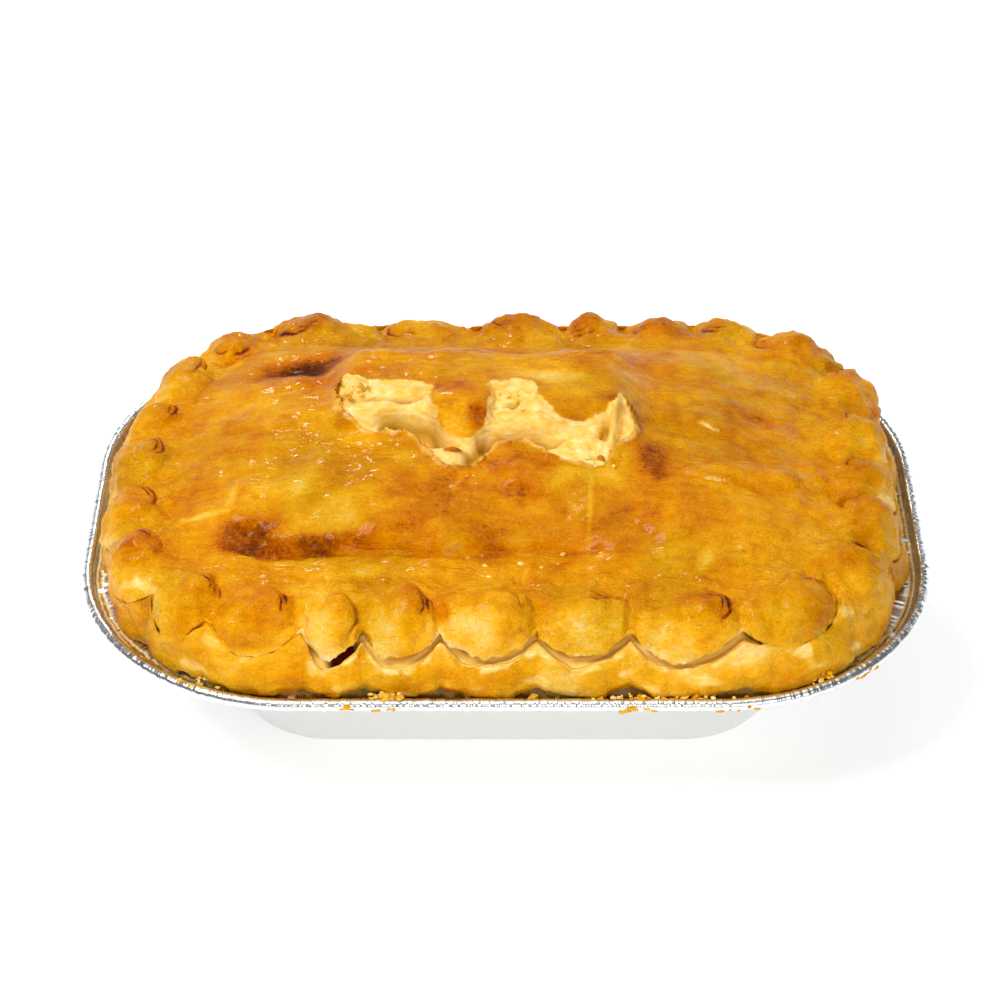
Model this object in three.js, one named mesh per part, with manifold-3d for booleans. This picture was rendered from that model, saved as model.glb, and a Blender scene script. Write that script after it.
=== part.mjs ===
// A large oblong steak pie, baked and served in its own foil tray.
//
// Three pieces, all in millimetres, +Z up, the tray's flat underside at z = 0 and the tray centred on X and Y:
//   foil_tray    a pressed aluminium dish with sloping walls, a broad flange and a rolled rim
//   pastry_base  the lower pastry with what it holds, whose scalloped edge shows under the lid
//   pastry_lid   the risen puff pastry lid: thumb-crimped edge, inner crease, domed crown and torn steam vent
//
// Every surface is a stack of closed rings. A ring is a rounded rectangle, walked round in the same steps as
// every other, so that neighbouring rings join in even quads.

import * as THREE from "three";
import { mergeVertices } from "three/addons/utils/BufferGeometryUtils.js";
import Module from "manifold-3d";

const wasm = await Module();
wasm.setup();

// ---------------------------------------------------------------- driving dimensions

const RIM_LENGTH = 280; // along X, outside the rolled rim
const RIM_WIDTH = 200; // along Y
const RIM_CORNER = 73.5; // plan radius of the rim's corners
const RIM_LEVEL = 50; // height of the rolled rim's centre
const BEAD_RADIUS = 2; // the rolled rim
const FLANGE_WIDTH = 18; // from the outside of the rim to the top of the wall
const FLANGE_DROP = 1.2; // flange below the rolled rim's centre
const BASE_LENGTH = 176; // the flat underside
const BASE_WIDTH = 118;
const BASE_CORNER = 30;
const FOIL = 0.5; // wall, drawn thicker than real foil so that it is a sound solid
const GAP = 0.45; // clearance between pieces that touch

const RIDGE_INSET = 20.5; // crest of the crimped edge, inward from the outside of the rim
const LID_SHIFT = -3; // the lid sits this far off the tray's centre, along X
const RIDGE_HEIGHT = 21.5; // pinches of the crimped edge above the rim's centre, halfway round
const FRONT_RISE = 2.5; // higher than that at the front, lower by as much at the back
const HEAD_RISE = 5; // how far a lobe's head stands above the pinches
const LOBE_BULGE = 4.5; // how far a lobe stands out past the pinches
const LIP_REACH = 8; // lower lip of the lid at the pinches, outward from the crest
const LIP_HEIGHT = 18; // its height at the pinches
const LIP_DROP = 7.5; // how far the lip hangs down in the middle of a lobe
const PINCH_RISE = 1.8; // crest at a pinch above its lowest level
const LEDGE_INSET = 5.6; // outer edge of the lower pastry, inward from the rim, at the pinches
const LEDGE_BULGE = 0.8; // how far it stands out past that in the middle of a lobe
const END_SETBACK = 6; // at the pie's two ends that edge stands this much further in
const END_SCALLOP = 3.5; // and bulges this much more
const CRACK = 2.8; // widest opening between lid and lower pastry, along the front
const CRACK_DEPTH = 9; // how far in that opening reaches
const OPEN_FROM = -62; // the opening's ends, along X
const OPEN_TO = 76;
const ARCH_HEIGHT = 5; // arches in the lower pastry's foot, over the pinches
const ARCH_HALF = 7.5; // half their width
const JOINT_LEVEL = 9; // where lid and lower pastry meet inside, above the rim's centre

const BAND_HEIGHT = 24.5; // the lid just inside the crimped edge
const CROWN_INSET = 34; // where the crimped edge ends and the crown starts
const CROWN_RISE = 12.5; // crown above the band
const CREASE_Y = -51.5; // the long crease behind the front edge
const CREASE_ENDS = [-88, 50]; // where it fades out, along X
const CREASE_DEPTH = 2.4;
const CREASE_SLOPE = 30; // the crown climbs back to its height over this far behind the crease
const SHELF_RISE = 6.5; // the back lip of the vent, risen above the crown
const SHELF_X = [-56, 41];
const SHELF_Y = [0, 46];
const VENT_DEPTH = 7; // floor of the torn vent below the crown
const VENT_FRONT = [[-57, 12], [-46, -1], [-33, -3], [-21, -20], [-10, -20], [3, -9], [12, -12], [25, -21], [35, -13], [42, 3]];
const VENT_BACK = [[-46, 19], [-30, 15], [-20, 0], [-9, -3], [-4, 14], [10, 14], [19, 0], [31, 1]];
const HOLLOWS = [
  { x: -68, y: 43, across: 13, along: 7, depth: 5 }, // behind the left end of the shelf
  { x: -82, y: -46, across: 9, along: 5, depth: 4 }, // left end of the front crease
  { x: 78, y: -23, across: 22, along: 3, depth: 1.6 }, // creases that run into the right-hand crimps
  { x: 80, y: 2, across: 20, along: 3, depth: 1.4 },
];

// Widths of the thumb-crimped lobes in order, measured on the crest, counter-clockwise from the front centre.
const LOBE_WIDTHS = [
  29, 34, 32, 26, 24, 23, 24, 30, 30, 22, 25, 21, 30, 35, 37, 29, 33, 23, 24, 24, 27, 19, 26, 19, 24, 30,
];
const FIRST_PINCH = 9.6; // arc length from the front centre to the first pinch
const LOBE_STEPS = [0, 0.12, 0.3, 0.5, 0.7, 0.88]; // where each lobe is sampled

// ---------------------------------------------------------------- small functions

const clamp = (v, low, high) => Math.min(high, Math.max(low, v));
const smooth = (low, high, v) => THREE.MathUtils.smoothstep(v, low, high);
const mix = THREE.MathUtils.lerp;

// The same unevenness each time: a repeatable draw from 0 to 1 for a whole number.
function draw(index, salt = 0) {
  const s = Math.sin(index * 12.9898 + salt * 78.233) * 43758.5453;
  return s - Math.floor(s);
}

// A hump over 0..1 that is 0 at both ends and 1 at peak.
const hump = (q, peak) => Math.sin((Math.PI / 2) * Math.min(q / peak, (1 - q) / (1 - peak)));

// ---------------------------------------------------------------- the walk round the pie

const rect = (inset) => ({
  a: RIM_LENGTH / 2 - inset,
  b: RIM_WIDTH / 2 - inset,
  r: Math.max(RIM_CORNER - inset, 1),
});

// A station is a place on any ring: tx, ty choose the straight run or corner, nx, ny point outward.
function stationAt(arc) {
  const { a, b, r } = rect(RIDGE_INSET);
  const corner = (Math.PI / 2) * r;
  const runs = [
    [a - r, (v) => [v, -1, -90]],
    [corner, (v) => [1, -1, -90 + 90 * v]],
    [2 * (b - r), (v) => [1, 2 * v - 1, 0]],
    [corner, (v) => [1, 1, 90 * v]],
    [2 * (a - r), (v) => [1 - 2 * v, 1, 90]],
    [corner, (v) => [-1, 1, 90 + 90 * v]],
    [2 * (b - r), (v) => [-1, 1 - 2 * v, 180]],
    [corner, (v) => [-1, -1, 180 + 90 * v]],
    [a - r, (v) => [v - 1, -1, 270]],
  ];
  let left = arc;
  for (const [length, place] of runs) {
    if (left <= length || place === runs.at(-1)[1]) {
      const [tx, ty, degrees] = place(clamp(left / length, 0, 1));
      const angle = THREE.MathUtils.degToRad(degrees);
      return { tx, ty, nx: Math.cos(angle), ny: Math.sin(angle) };
    }
    left -= length;
  }
}

function ridgeLength() {
  const { a, b, r } = rect(RIDGE_INSET);
  return 4 * (a + b - 2 * r) + 2 * Math.PI * r;
}

// Every lobe's stations, with its own number and width, the share q of the way across it, and the way it
// leans: 1 towards its far pinch, and -1 along the left side, where all lean back.
function walk() {
  const total = ridgeLength();
  const scale = total / LOBE_WIDTHS.reduce((sum, w) => sum + w, 0);
  const stations = [];
  let start = FIRST_PINCH;
  LOBE_WIDTHS.forEach((drawn, lobe) => {
    const width = drawn * scale;
    const lean = stationAt((start + width / 2) % total).nx < -0.6 ? -1 : 1;
    for (const q of LOBE_STEPS) {
      stations.push({ ...stationAt((start + q * width) % total), lobe, width, lean, q });
    }
    start += width;
  });
  return stations;
}

const STATIONS = walk();
const EVERY_OTHER = STATIONS.filter((_, i) => i % 2 === 0);

const place = (s, { a, b, r }, z) =>
  new THREE.Vector3(s.tx * (a - r) + s.nx * r, s.ty * (b - r) + s.ny * r, z);

// ---------------------------------------------------------------- rings to solids

// A closed solid through the rings, from a pole at the first ring's centre to one at the last ring's.
// The rings run from the bottom up, or with downward from the top down. A ring may have half as many
// points as its neighbour.
function solidOf(firstPole, rings, lastPole, downward = false) {
  const points = [firstPole, ...rings.flat(), lastPole];
  const faces = [];
  let start = 1;
  for (let i = 0; i < rings.length; i++) {
    const n = rings[i].length;
    if (i === 0) for (let j = 0; j < n; j++) faces.push(0, start + ((j + 1) % n), start + j);
    if (i + 1 === rings.length) {
      for (let j = 0; j < n; j++) faces.push(points.length - 1, start + j, start + ((j + 1) % n));
      break;
    }
    joinRings(faces, start, n, start + n, rings[i + 1].length);
    start += n;
  }
  const geometry = new THREE.BufferGeometry().setFromPoints(points);
  geometry.setIndex(downward ? faces.reverse() : faces);
  return mergeVertices(geometry, 1e-4);
}

// Triangles between a ring of n points and the next of m, where one may have twice as many as the other.
function joinRings(faces, first, n, next, m) {
  const steps = Math.min(n, m);
  const [f, g] = [n / steps, m / steps];
  for (let j = 0; j < steps; j++) {
    const lower = Array.from({ length: f + 1 }, (_, i) => first + ((j * f + i) % n));
    const upper = Array.from({ length: g + 1 }, (_, i) => next + ((j * g + i) % m));
    for (let i = 0; i < f; i++) faces.push(lower[i], lower[i + 1], upper[i]);
    for (let i = 0; i < g; i++) faces.push(upper[i], lower[1], upper[i + 1]);
  }
}

function manifoldOf(geometry) {
  const bare = new THREE.BufferGeometry().setAttribute("position", geometry.getAttribute("position"));
  bare.setIndex(geometry.index);
  const merged = mergeVertices(bare, 1e-4);
  return new wasm.Manifold(
    new wasm.Mesh({
      numProp: 3,
      vertProperties: Float32Array.from(merged.attributes.position.array),
      triVerts: Uint32Array.from(merged.index.array),
    }),
  );
}

function geometryOf(solid) {
  const made = solid.getMesh();
  const geometry = new THREE.BufferGeometry();
  const positions = new Float32Array(made.numVert * 3);
  for (let i = 0; i < made.numVert; i++) {
    const from = i * made.numProp;
    positions.set(made.vertProperties.subarray(from, from + 3), i * 3);
  }
  geometry.setAttribute("position", new THREE.BufferAttribute(positions, 3));
  geometry.setIndex(new THREE.BufferAttribute(made.triVerts, 1));
  return geometry;
}

// ---------------------------------------------------------------- the foil tray

const WALL_TOP = RIM_LEVEL - FLANGE_DROP;

// The tray's wall at share k of the way from the flange (0) down to the base (1), moved inward by inset.
function wallRect(k, inset) {
  const top = rect(FLANGE_WIDTH);
  return {
    a: mix(top.a, BASE_LENGTH / 2, k) - inset,
    b: mix(top.b, BASE_WIDTH / 2, k) - inset,
    r: mix(top.r, BASE_CORNER, k) - inset,
  };
}

function foilTray() {
  const ring = (shape, z) => EVERY_OTHER.map((s) => place(s, shape, z));
  const bead = (degrees, radius = BEAD_RADIUS) => {
    const angle = THREE.MathUtils.degToRad(degrees);
    return ring(rect(BEAD_RADIUS - radius * Math.cos(angle)), RIM_LEVEL + radius * Math.sin(angle));
  };
  const outside = [
    ring(wallRect(1, 4), 0),
    ring(wallRect(0.98, 0.4), 1.2),
    ring(wallRect(0.9, 0), 4.6),
    ring(wallRect(0.45, 0), WALL_TOP * 0.55),
    ring(wallRect(0.07, 0), WALL_TOP - 4),
    ring(rect(FLANGE_WIDTH - 1.2), WALL_TOP - FOIL - 0.6),
    ring(rect(FLANGE_WIDTH - 4), WALL_TOP - FOIL),
    ring(rect(2 * BEAD_RADIUS + 0.8), WALL_TOP - FOIL),
  ];
  const rolled = [-90, -45, 0, 45, 90, 150].map((degrees) => bead(degrees));
  const inside = [
    ring(rect(2 * BEAD_RADIUS + 0.8), WALL_TOP),
    ring(rect(FLANGE_WIDTH - 2.5), WALL_TOP),
    ring(rect(FLANGE_WIDTH + 0.2), WALL_TOP - 1),
    ring(wallRect(0.08, FOIL + 0.3), WALL_TOP - 4),
    ring(wallRect(0.45, FOIL + 0.2), WALL_TOP * 0.55),
    ring(wallRect(0.9, FOIL + 0.2), 4.6 + FOIL),
    ring(wallRect(0.98, 1.4), 1.2 + FOIL),
    ring(wallRect(1, 4.8), FOIL),
  ];
  return solidOf(new THREE.Vector3(0, 0, 0), [...outside, ...rolled, ...inside], new THREE.Vector3(0, 0, FOIL));
}

// ---------------------------------------------------------------- the crimped edge

// How far the front has come open: 1 between the opening's two ends, 0 round the rest.
function openness(s) {
  const x = s.tx * (RIM_LENGTH / 2 - RIM_CORNER) + s.nx * (RIM_CORNER - RIDGE_INSET);
  const along = smooth(OPEN_FROM - 6, OPEN_FROM + 4, x) * (1 - smooth(OPEN_TO - 4, OPEN_TO + 4, x));
  return smooth(0.75, 0.9, -s.ny) * along;
}

// The opening between the two pastries: widest along the front, shut to a seam round the rest.
const crackAt = (s) => mix(0.7, CRACK, openness(s));

// A lobe's own shape at a station: how far it stands out, how high its head is, how low its lip hangs.
function lobeAt(s) {
  const head = HEAD_RISE * mix(0.6, 1.3, draw(s.lobe, 2)) - PINCH_RISE;
  return {
    out: LOBE_BULGE * mix(0.8, 1.2, draw(s.lobe, 1)) * Math.pow(hump(s.q, 0.5), 0.7),
    head: PINCH_RISE + head * Math.pow(hump(s.q, 0.5 + 0.14 * s.lean), 0.9),
    drop: LIP_DROP * mix(0.8, 1.1, draw(s.lobe, 3)) * hump(s.q, 0.5 - 0.1 * s.lean),
  };
}

// Arches in the lower pastry's foot: half ellipses over the pinches, each of a drawn height.
function archAt(s) {
  const side = Math.min(s.q, 1 - s.q) * s.width;
  const pinch = s.q < 0.5 ? s.lobe : (s.lobe + 1) % LOBE_WIDTHS.length;
  return ARCH_HEIGHT * mix(0.35, 1, draw(pinch, 4)) * Math.sqrt(Math.max(0, 1 - (side / ARCH_HALF) ** 2));
}

// The crest's inset from the rim: the lid is off-centre, drawn in along its left side and at its back left
// corner, and let out at its back right corner.
function crestInset(s) {
  const { b, r } = rect(RIDGE_INSET);
  const back = s.ty * (b - r) + s.ny * r;
  const backLeft = smooth(12, 45, back) * (1 - smooth(0.86, 1, s.ny)) * smooth(0.2, 0.5, -s.nx);
  const backRight = smooth(30, 60, back) * (1 - smooth(0.8, 1, s.ny)) * smooth(0.1, 0.4, s.nx);
  const left = smooth(0.8, 1, -s.nx);
  return RIDGE_INSET - LID_SHIFT * s.nx + 1.5 * s.nx ** 2 + 2.5 * left + 6 * backLeft - 3 * backRight;
}

const crestHeight = (s, lobe) => RIDGE_HEIGHT - FRONT_RISE * s.ny + lobe.head;
const lipInset = (s, lobe) => crestInset(s) - LIP_REACH - 1.5 * smooth(0, 1, s.nx) - lobe.out;
const lipHeight = (s, lobe) => LIP_HEIGHT - 1.5 * s.ny - lobe.drop;
function ledgeInset(s, lobe) {
  const end = smooth(0.6, 0.95, Math.abs(s.nx));
  return LEDGE_INSET + END_SETBACK * end - (LEDGE_BULGE + END_SCALLOP * end) * (lobe.out / LOBE_BULGE);
}

// A ring of the pastry edge: inset and height are functions of the station and its lobe.
const edgeRing = (stations, inset, height) =>
  stations.map((s) => {
    const lobe = lobeAt(s);
    return place(s, rect(inset(s, lobe)), RIM_LEVEL + height(s, lobe));
  });

// ---------------------------------------------------------------- the crown of the lid

// Height of the lid inside its crimped edge, above the rim's centre. share is 0 at the centre and 1 at the edge.
function crownHeight(x, y, share) {
  const [left, right] = CREASE_ENDS;
  const creased = smooth(left - 8, left + 14, x) * (1 - smooth(right - 35, right + 35, x));
  const behind = 1 - creased * Math.pow(clamp(1 - (y - CREASE_Y + 1) / CREASE_SLOPE, 0, 1), 2.2);
  const dome = CROWN_RISE * (1 - Math.pow(share, 3.2)) * behind;
  const shallow = 1 - 0.7 * smooth(-20, 10, x);
  const notch = CREASE_DEPTH * creased * shallow * Math.exp(-(((y - CREASE_Y) / 2.6) ** 2));
  const shelf =
    SHELF_RISE *
    smooth(SHELF_X[0] - 8, SHELF_X[0] + 8, x) *
    (1 - smooth(SHELF_X[1] - 6, SHELF_X[1] + 10, x)) *
    smooth(SHELF_Y[0] - 5, SHELF_Y[0] + 5, y) *
    (1 - smooth(SHELF_Y[1] - 10, SHELF_Y[1] + 10, y));
  const roll = 1.4 * Math.sin(x / 19 + 0.6) * Math.sin(y / 15 + 1.1) * (1 - share ** 2);
  const dents = HOLLOWS.reduce(
    (sum, h) => sum + h.depth * Math.exp(-(((x - h.x) / h.across) ** 2) - ((y - h.y) / h.along) ** 2),
    0,
  );
  return BAND_HEIGHT - 1.2 * smooth(20, 70, y) * share + dome + shelf + roll - notch - dents;
}

function crownRings() {
  const edge = rect(CROWN_INSET);
  const shares = [0.96, 0.875, 0.81, 0.78, 0.745, 0.68, 0.6, 0.5, 0.38, 0.25, 0.12];
  return shares.map((share, i) =>
    (i < 5 ? STATIONS : EVERY_OTHER).map((s) => {
      const p = place(s, edge, 0);
      p.set(p.x * share + LID_SHIFT, p.y * share, 0);
      p.z = RIM_LEVEL + crownHeight(p.x, p.y, share);
      return p;
    }),
  );
}

// The torn vent, cut down into the crown between its front lip and the ragged edge of the shelf behind it.
function ventCutter() {
  const torn = (points, divisions) =>
    new THREE.SplineCurve(points.map(([x, y]) => new THREE.Vector2(x, y))).getPoints(divisions);
  const shape = new THREE.Shape([...torn(VENT_FRONT, 22), ...torn(VENT_BACK, 18).reverse()]);
  const floor = RIM_LEVEL + BAND_HEIGHT + CROWN_RISE - VENT_DEPTH;
  const geometry = new THREE.ExtrudeGeometry(shape, { depth: VENT_DEPTH + 20, bevelEnabled: false, steps: 1 });
  geometry.translate(0, 0, floor);
  return geometry;
}

// ---------------------------------------------------------------- the two pastries

// The underside of the lid's edge, drop lower: the lid's own at 0, the top of the lower pastry at a gap.
function jointRings(drop) {
  return [
    edgeRing(EVERY_OTHER, () => CROWN_INSET + 8, () => JOINT_LEVEL - drop(null)),
    edgeRing(STATIONS, (s) => crestInset(s) + 4, (s) => JOINT_LEVEL + 1 - drop(null)),
    edgeRing(STATIONS, (s, l) => lipInset(s, l) + CRACK_DEPTH, (s, l) =>
      mix(JOINT_LEVEL + 1, lipHeight(s, l), 0.7) - drop(null)),
    edgeRing(STATIONS, (s, l) => lipInset(s, l) + 1.4, (s, l) => lipHeight(s, l) - drop(s)),
  ];
}

function pastryLid() {
  const under = jointRings(() => 0);
  const face = [
    edgeRing(STATIONS, (s, l) => lipInset(s, l) - 0.6, (s, l) => lipHeight(s, l) + 2),
    edgeRing(STATIONS, (s, l) => lipInset(s, l) + 0.8, (s, l) => mix(lipHeight(s, l), crestHeight(s, l), 0.55)),
    edgeRing(STATIONS, (s, l) => mix(lipInset(s, l), crestInset(s), 0.45), (s, l) => crestHeight(s, l) - 2),
    edgeRing(STATIONS, (s, l) => crestInset(s) - 0.3 * l.out, (s, l) => crestHeight(s, l)),
    edgeRing(STATIONS, (s) => crestInset(s) + 4, (s, l) => mix(BAND_HEIGHT, crestHeight(s, l), 0.85)),
    edgeRing(STATIONS, (s) => crestInset(s) + 8.5, (s, l) => mix(BAND_HEIGHT, crestHeight(s, l), 0.4)),
  ];
  const rings = [...under, ...face, ...crownRings()];
  const bottom = new THREE.Vector3(0, 0, RIM_LEVEL + JOINT_LEVEL);
  const top = new THREE.Vector3(LID_SHIFT, 0, RIM_LEVEL + crownHeight(LID_SHIFT, 0, 0));
  const whole = manifoldOf(solidOf(bottom, rings, top));
  return geometryOf(whole.subtract(manifoldOf(ventCutter())));
}

function pastryBase() {
  const snug = FOIL + GAP;
  const lying = -FLANGE_DROP + GAP; // height of pastry that lies on the flange
  const peak = (s) => Math.pow(1 - hump(s.q, 0.5), 2); // the torn upper edge stands up at each pinch
  const lifted = (s) => lying + 0.3 + archAt(s);
  const ledgeTop = (s, l) => lipHeight(s, l) - mix(1.6, 3 - 1.4 * peak(s), openness(s));
  const sides = [
    EVERY_OTHER.map((s) => place(s, wallRect(1, 6), FOIL + GAP)),
    EVERY_OTHER.map((s) => place(s, wallRect(0.9, snug + 0.7), 5 + snug)),
    EVERY_OTHER.map((s) => place(s, wallRect(0.45, snug + 0.4), WALL_TOP * 0.55)),
    EVERY_OTHER.map((s) => place(s, wallRect(0.09, snug + 1.1), WALL_TOP - 4)),
  ];
  const edge = [
    edgeRing(STATIONS, () => FLANGE_WIDTH + 1, () => lying),
    edgeRing(STATIONS, (s, l) => ledgeInset(s, l) + 5, lifted),
    edgeRing(STATIONS, (s, l) => ledgeInset(s, l) + 0.6, (s) => lifted(s) + 0.5),
    edgeRing(STATIONS, ledgeInset, (s, l) => mix(lifted(s), ledgeTop(s, l), 0.45)),
    edgeRing(STATIONS, (s, l) => Math.min(ledgeInset(s, l) + 2 + 2 * peak(s), lipInset(s, l) + 0.4), ledgeTop),
  ];
  const joint = jointRings((s) => (s ? crackAt(s) : GAP + 0.3));
  const bottom = new THREE.Vector3(0, 0, FOIL + GAP);
  const top = new THREE.Vector3(0, 0, RIM_LEVEL + JOINT_LEVEL - GAP - 0.3);
  return solidOf(top, [...joint, ...edge.reverse(), ...sides.reverse()], bottom, true);
}

// ---------------------------------------------------------------- materials and scene graph

const FOIL_METAL = new THREE.MeshStandardMaterial({ color: 0xc9cccd, roughness: 0.28, metalness: 1 });
const BAKED_PASTRY = new THREE.MeshStandardMaterial({ color: 0xdc9a1e, roughness: 0.38, metalness: 0 });
const PALE_PASTRY = new THREE.MeshStandardMaterial({ color: 0xeebb50, roughness: 0.55, metalness: 0 });

function piece(name, geometry, material) {
  const mesh = new THREE.Mesh(geometry, material);
  mesh.name = name;
  geometry.computeVertexNormals();
  return mesh;
}

const pie = new THREE.Group();
pie.add(piece("foil_tray", foilTray(), FOIL_METAL));
pie.add(piece("pastry_base", pastryBase(), PALE_PASTRY));
pie.add(piece("pastry_lid", pastryLid(), BAKED_PASTRY));

export default pie;
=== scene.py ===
"""A large oblong steak pie in its foil tray, dressed for the studio.

Every large surface is a stack of closed rings round the pie, worked out in millimetres with numpy and
written in metres. The rings start at the middle of the front and run anticlockwise seen from above.
"""

import math

import bpy
import numpy as np
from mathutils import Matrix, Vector


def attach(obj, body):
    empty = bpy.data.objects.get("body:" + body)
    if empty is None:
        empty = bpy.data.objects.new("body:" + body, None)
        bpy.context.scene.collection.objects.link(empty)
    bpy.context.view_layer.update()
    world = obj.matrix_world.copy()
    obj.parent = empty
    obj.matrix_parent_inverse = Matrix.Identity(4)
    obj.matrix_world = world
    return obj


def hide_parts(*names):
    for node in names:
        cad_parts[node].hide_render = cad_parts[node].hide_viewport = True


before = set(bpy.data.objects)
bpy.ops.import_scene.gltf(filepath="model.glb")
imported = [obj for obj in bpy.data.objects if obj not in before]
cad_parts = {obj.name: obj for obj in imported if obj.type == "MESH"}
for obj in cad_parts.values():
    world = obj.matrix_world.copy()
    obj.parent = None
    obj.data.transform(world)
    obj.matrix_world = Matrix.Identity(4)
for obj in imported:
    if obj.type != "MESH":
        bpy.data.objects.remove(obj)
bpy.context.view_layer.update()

bl_info = {
    "name": "Steak Pie",
    "version": (1, 0, 0),
    "blender": (4, 5, 0),
    "location": "3D View > Sidebar > Steak Pie",
    "description": "A glazed oblong steak pie in a foil tray, with its studio",
    "category": "Add Mesh",
}

MM = 0.001

# -------------------------------- sizes shared with the frame, in millimetres

RIM_LENGTH = 280.0
RIM_WIDTH = 200.0
RIM_CORNER = 73.5
RIM_LEVEL = 50.0
BEAD_RADIUS = 2.0
FLANGE_WIDTH = 18.0
FLANGE_DROP = 1.2
BASE_LENGTH = 176.0
BASE_WIDTH = 118.0
BASE_CORNER = 30.0
FOIL = 0.5
GAP = 0.45
WALL_TOP = RIM_LEVEL - FLANGE_DROP

CREST_INSET = 20.5
LID_SHIFT = -3.0
RIDGE_HEIGHT = 21.5
FRONT_RISE = 2.5
HEAD_RISE = 5.0
LOBE_BULGE = 4.5
LIP_REACH = 8.0
LIP_HEIGHT = 18.0
LIP_DROP = 7.5
PINCH_RISE = 1.8
LEDGE_INSET = 5.6
LEDGE_BULGE = 0.8
END_SETBACK = 6.0
END_SCALLOP = 3.5
CRACK = 2.8
CRACK_DEPTH = 9.0
OPEN_FROM = -62.0
OPEN_TO = 76.0
ARCH_HEIGHT = 5.0
ARCH_HALF = 7.5
JOINT_LEVEL = 9.0

BAND_HEIGHT = 24.5
CROWN_INSET = 34.0
CROWN_RISE = 12.5
CREASE_Y = -51.5
CREASE_ENDS = (-88.0, 50.0)
CREASE_DEPTH = 2.4
CREASE_SLOPE = 30.0
SHELF_RISE = 6.5
SHELF_X = (-56.0, 41.0)
SHELF_Y = (0.0, 46.0)
HEAD_SIZE = 8.0  # about half the width of a lobe's head
CREASE_SPACING = 0.22 * HEAD_SIZE  # between the arcs pressed round a head
HIGHEST = 95.5  # above this the crown's lumps are pressed down
HOLLOWS = (  # x, y, half widths along x and y, depth
    (-68.0, 43.0, 13.0, 7.0, 5.0),
    (-82.0, -46.0, 9.0, 5.0, 4.0),
    (78.0, -23.0, 22.0, 3.0, 1.6),
    (80.0, 2.0, 20.0, 3.0, 1.4),
)
VENT_LIP = (  # the torn edge of the skin in front of the vent, left to right
    (-56, 13), (-53, 2), (-45, -2), (-37, -2), (-31, -4), (-26, -13), (-22, -20), (-15, -22), (-9, -20),
    (-4, -12), (3, -9), (11, -12), (16, -17), (24, -21), (32, -19), (37, -10), (43, -5),
)
VENT_EDGE = (  # the edge of the raised skin behind it, with the tongue that hangs from it
    (-55, 27), (-45, 20), (-34, 18), (-25, 15), (-25, 6), (-20, -4), (-13, -8), (-7, -2), (-5, 7), (-6, 15),
    (3, 16), (10, 14), (12, 5), (19, -1), (28, -1), (35, 4), (39, 11),
)
SCARPS = (  # small steps where the skin has flaked: line from left to right, height
    (((51, 9), (66, 6), (74, 3), (81, -2), (89, 0), (96, 2)), 1.1),
    (((55, -22), (66, -25), (78, -24), (86, -24), (96, -20)), 1.3),
)

LOBE_WIDTHS = np.array([
    29, 34, 32, 26, 24, 23, 24, 30, 30, 22, 25, 21, 30, 35, 37, 29, 33, 23, 24, 24, 27, 19, 26, 19, 24, 30.0,
])
FIRST_PINCH = 9.6
WALL_FOLDS = (  # sharp folds in the foil wall: arc from the front middle, slant, and where they end below
    (68.0, 1.2, 4.0),
    (71.5, 1.2, 4.6),
    (81.0, 1.4, 4.4),
    (-79.0, -1.2, 4.2),
)

# place along the front and length of each row of drips
DRIPS = ((-50.0, 3.0), (-38.0, 6.0), (38.0, 4.0), (42.0, 8.0), (71.0, 9.0), (104.0, 6.0))
CRUMBLED = (  # x, y, z of a scatter of flakes, its half widths, how many; z = -1 lies them on the lid
    (-38, -96.5, 51.5, 7, 2.0, 1.4, 60),
    (99, -87, 52, 4, 3, 1.6, 30),
    (-95, -86, 52, 9, 6, 1.4, 30),
    (40, -96.5, 51.5, 40, 1.6, 1.0, 50),
    (28, -20, -1, 9, 4, 0, 24),
    (-50, 16, -1, 6, 4, 0, 10),
    (20, -58, -1, 70, 8, 0, 14),
)

LID_COLUMNS = 960  # points round each ring of the lid's edge; the crown has half as many
BASE_COLUMNS = 1000
TRAY_COLUMNS = 1560
RIM_STRETCH = 1.17  # how much longer the walk is along the rim than along the crest
OPENING_DEPTH = 4.6  # how far in the front opening shows its dough
UNDER_LID = 0.3  # further below the lid than the gap, where the two pastries lie together
RIGHT_CARD_SHARE = 1.4  # how much brighter the right card is than the left
CAMERA_AIM = (-1.91, 8.22, RIM_LEVEL)

# -------------------------------- numbers


def mix(a, b, t):
    """a at t = 0 and b at t = 1, in a straight line."""
    return a + (b - a) * t


def smooth(low, high, v):
    """0 below low, 1 above high, and 3t^2 - 2t^3 between."""
    t = np.clip((v - low) / (high - low), 0.0, 1.0)
    return t * t * (3.0 - 2.0 * t)


def draw(index, salt=0):
    """A repeatable draw from 0 to 1: the fraction of a large sine."""
    s = np.sin(index * 12.9898 + salt * 78.233) * 43758.5453
    return s - np.floor(s)


def hump(q, peak):
    """A quarter sine up to 1 at peak and a quarter sine down, 0 at both ends of 0..1."""
    return np.sin(np.pi / 2 * np.clip(np.minimum(q / peak, (1 - q) / (1 - peak)), 0.0, 1.0))


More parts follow.
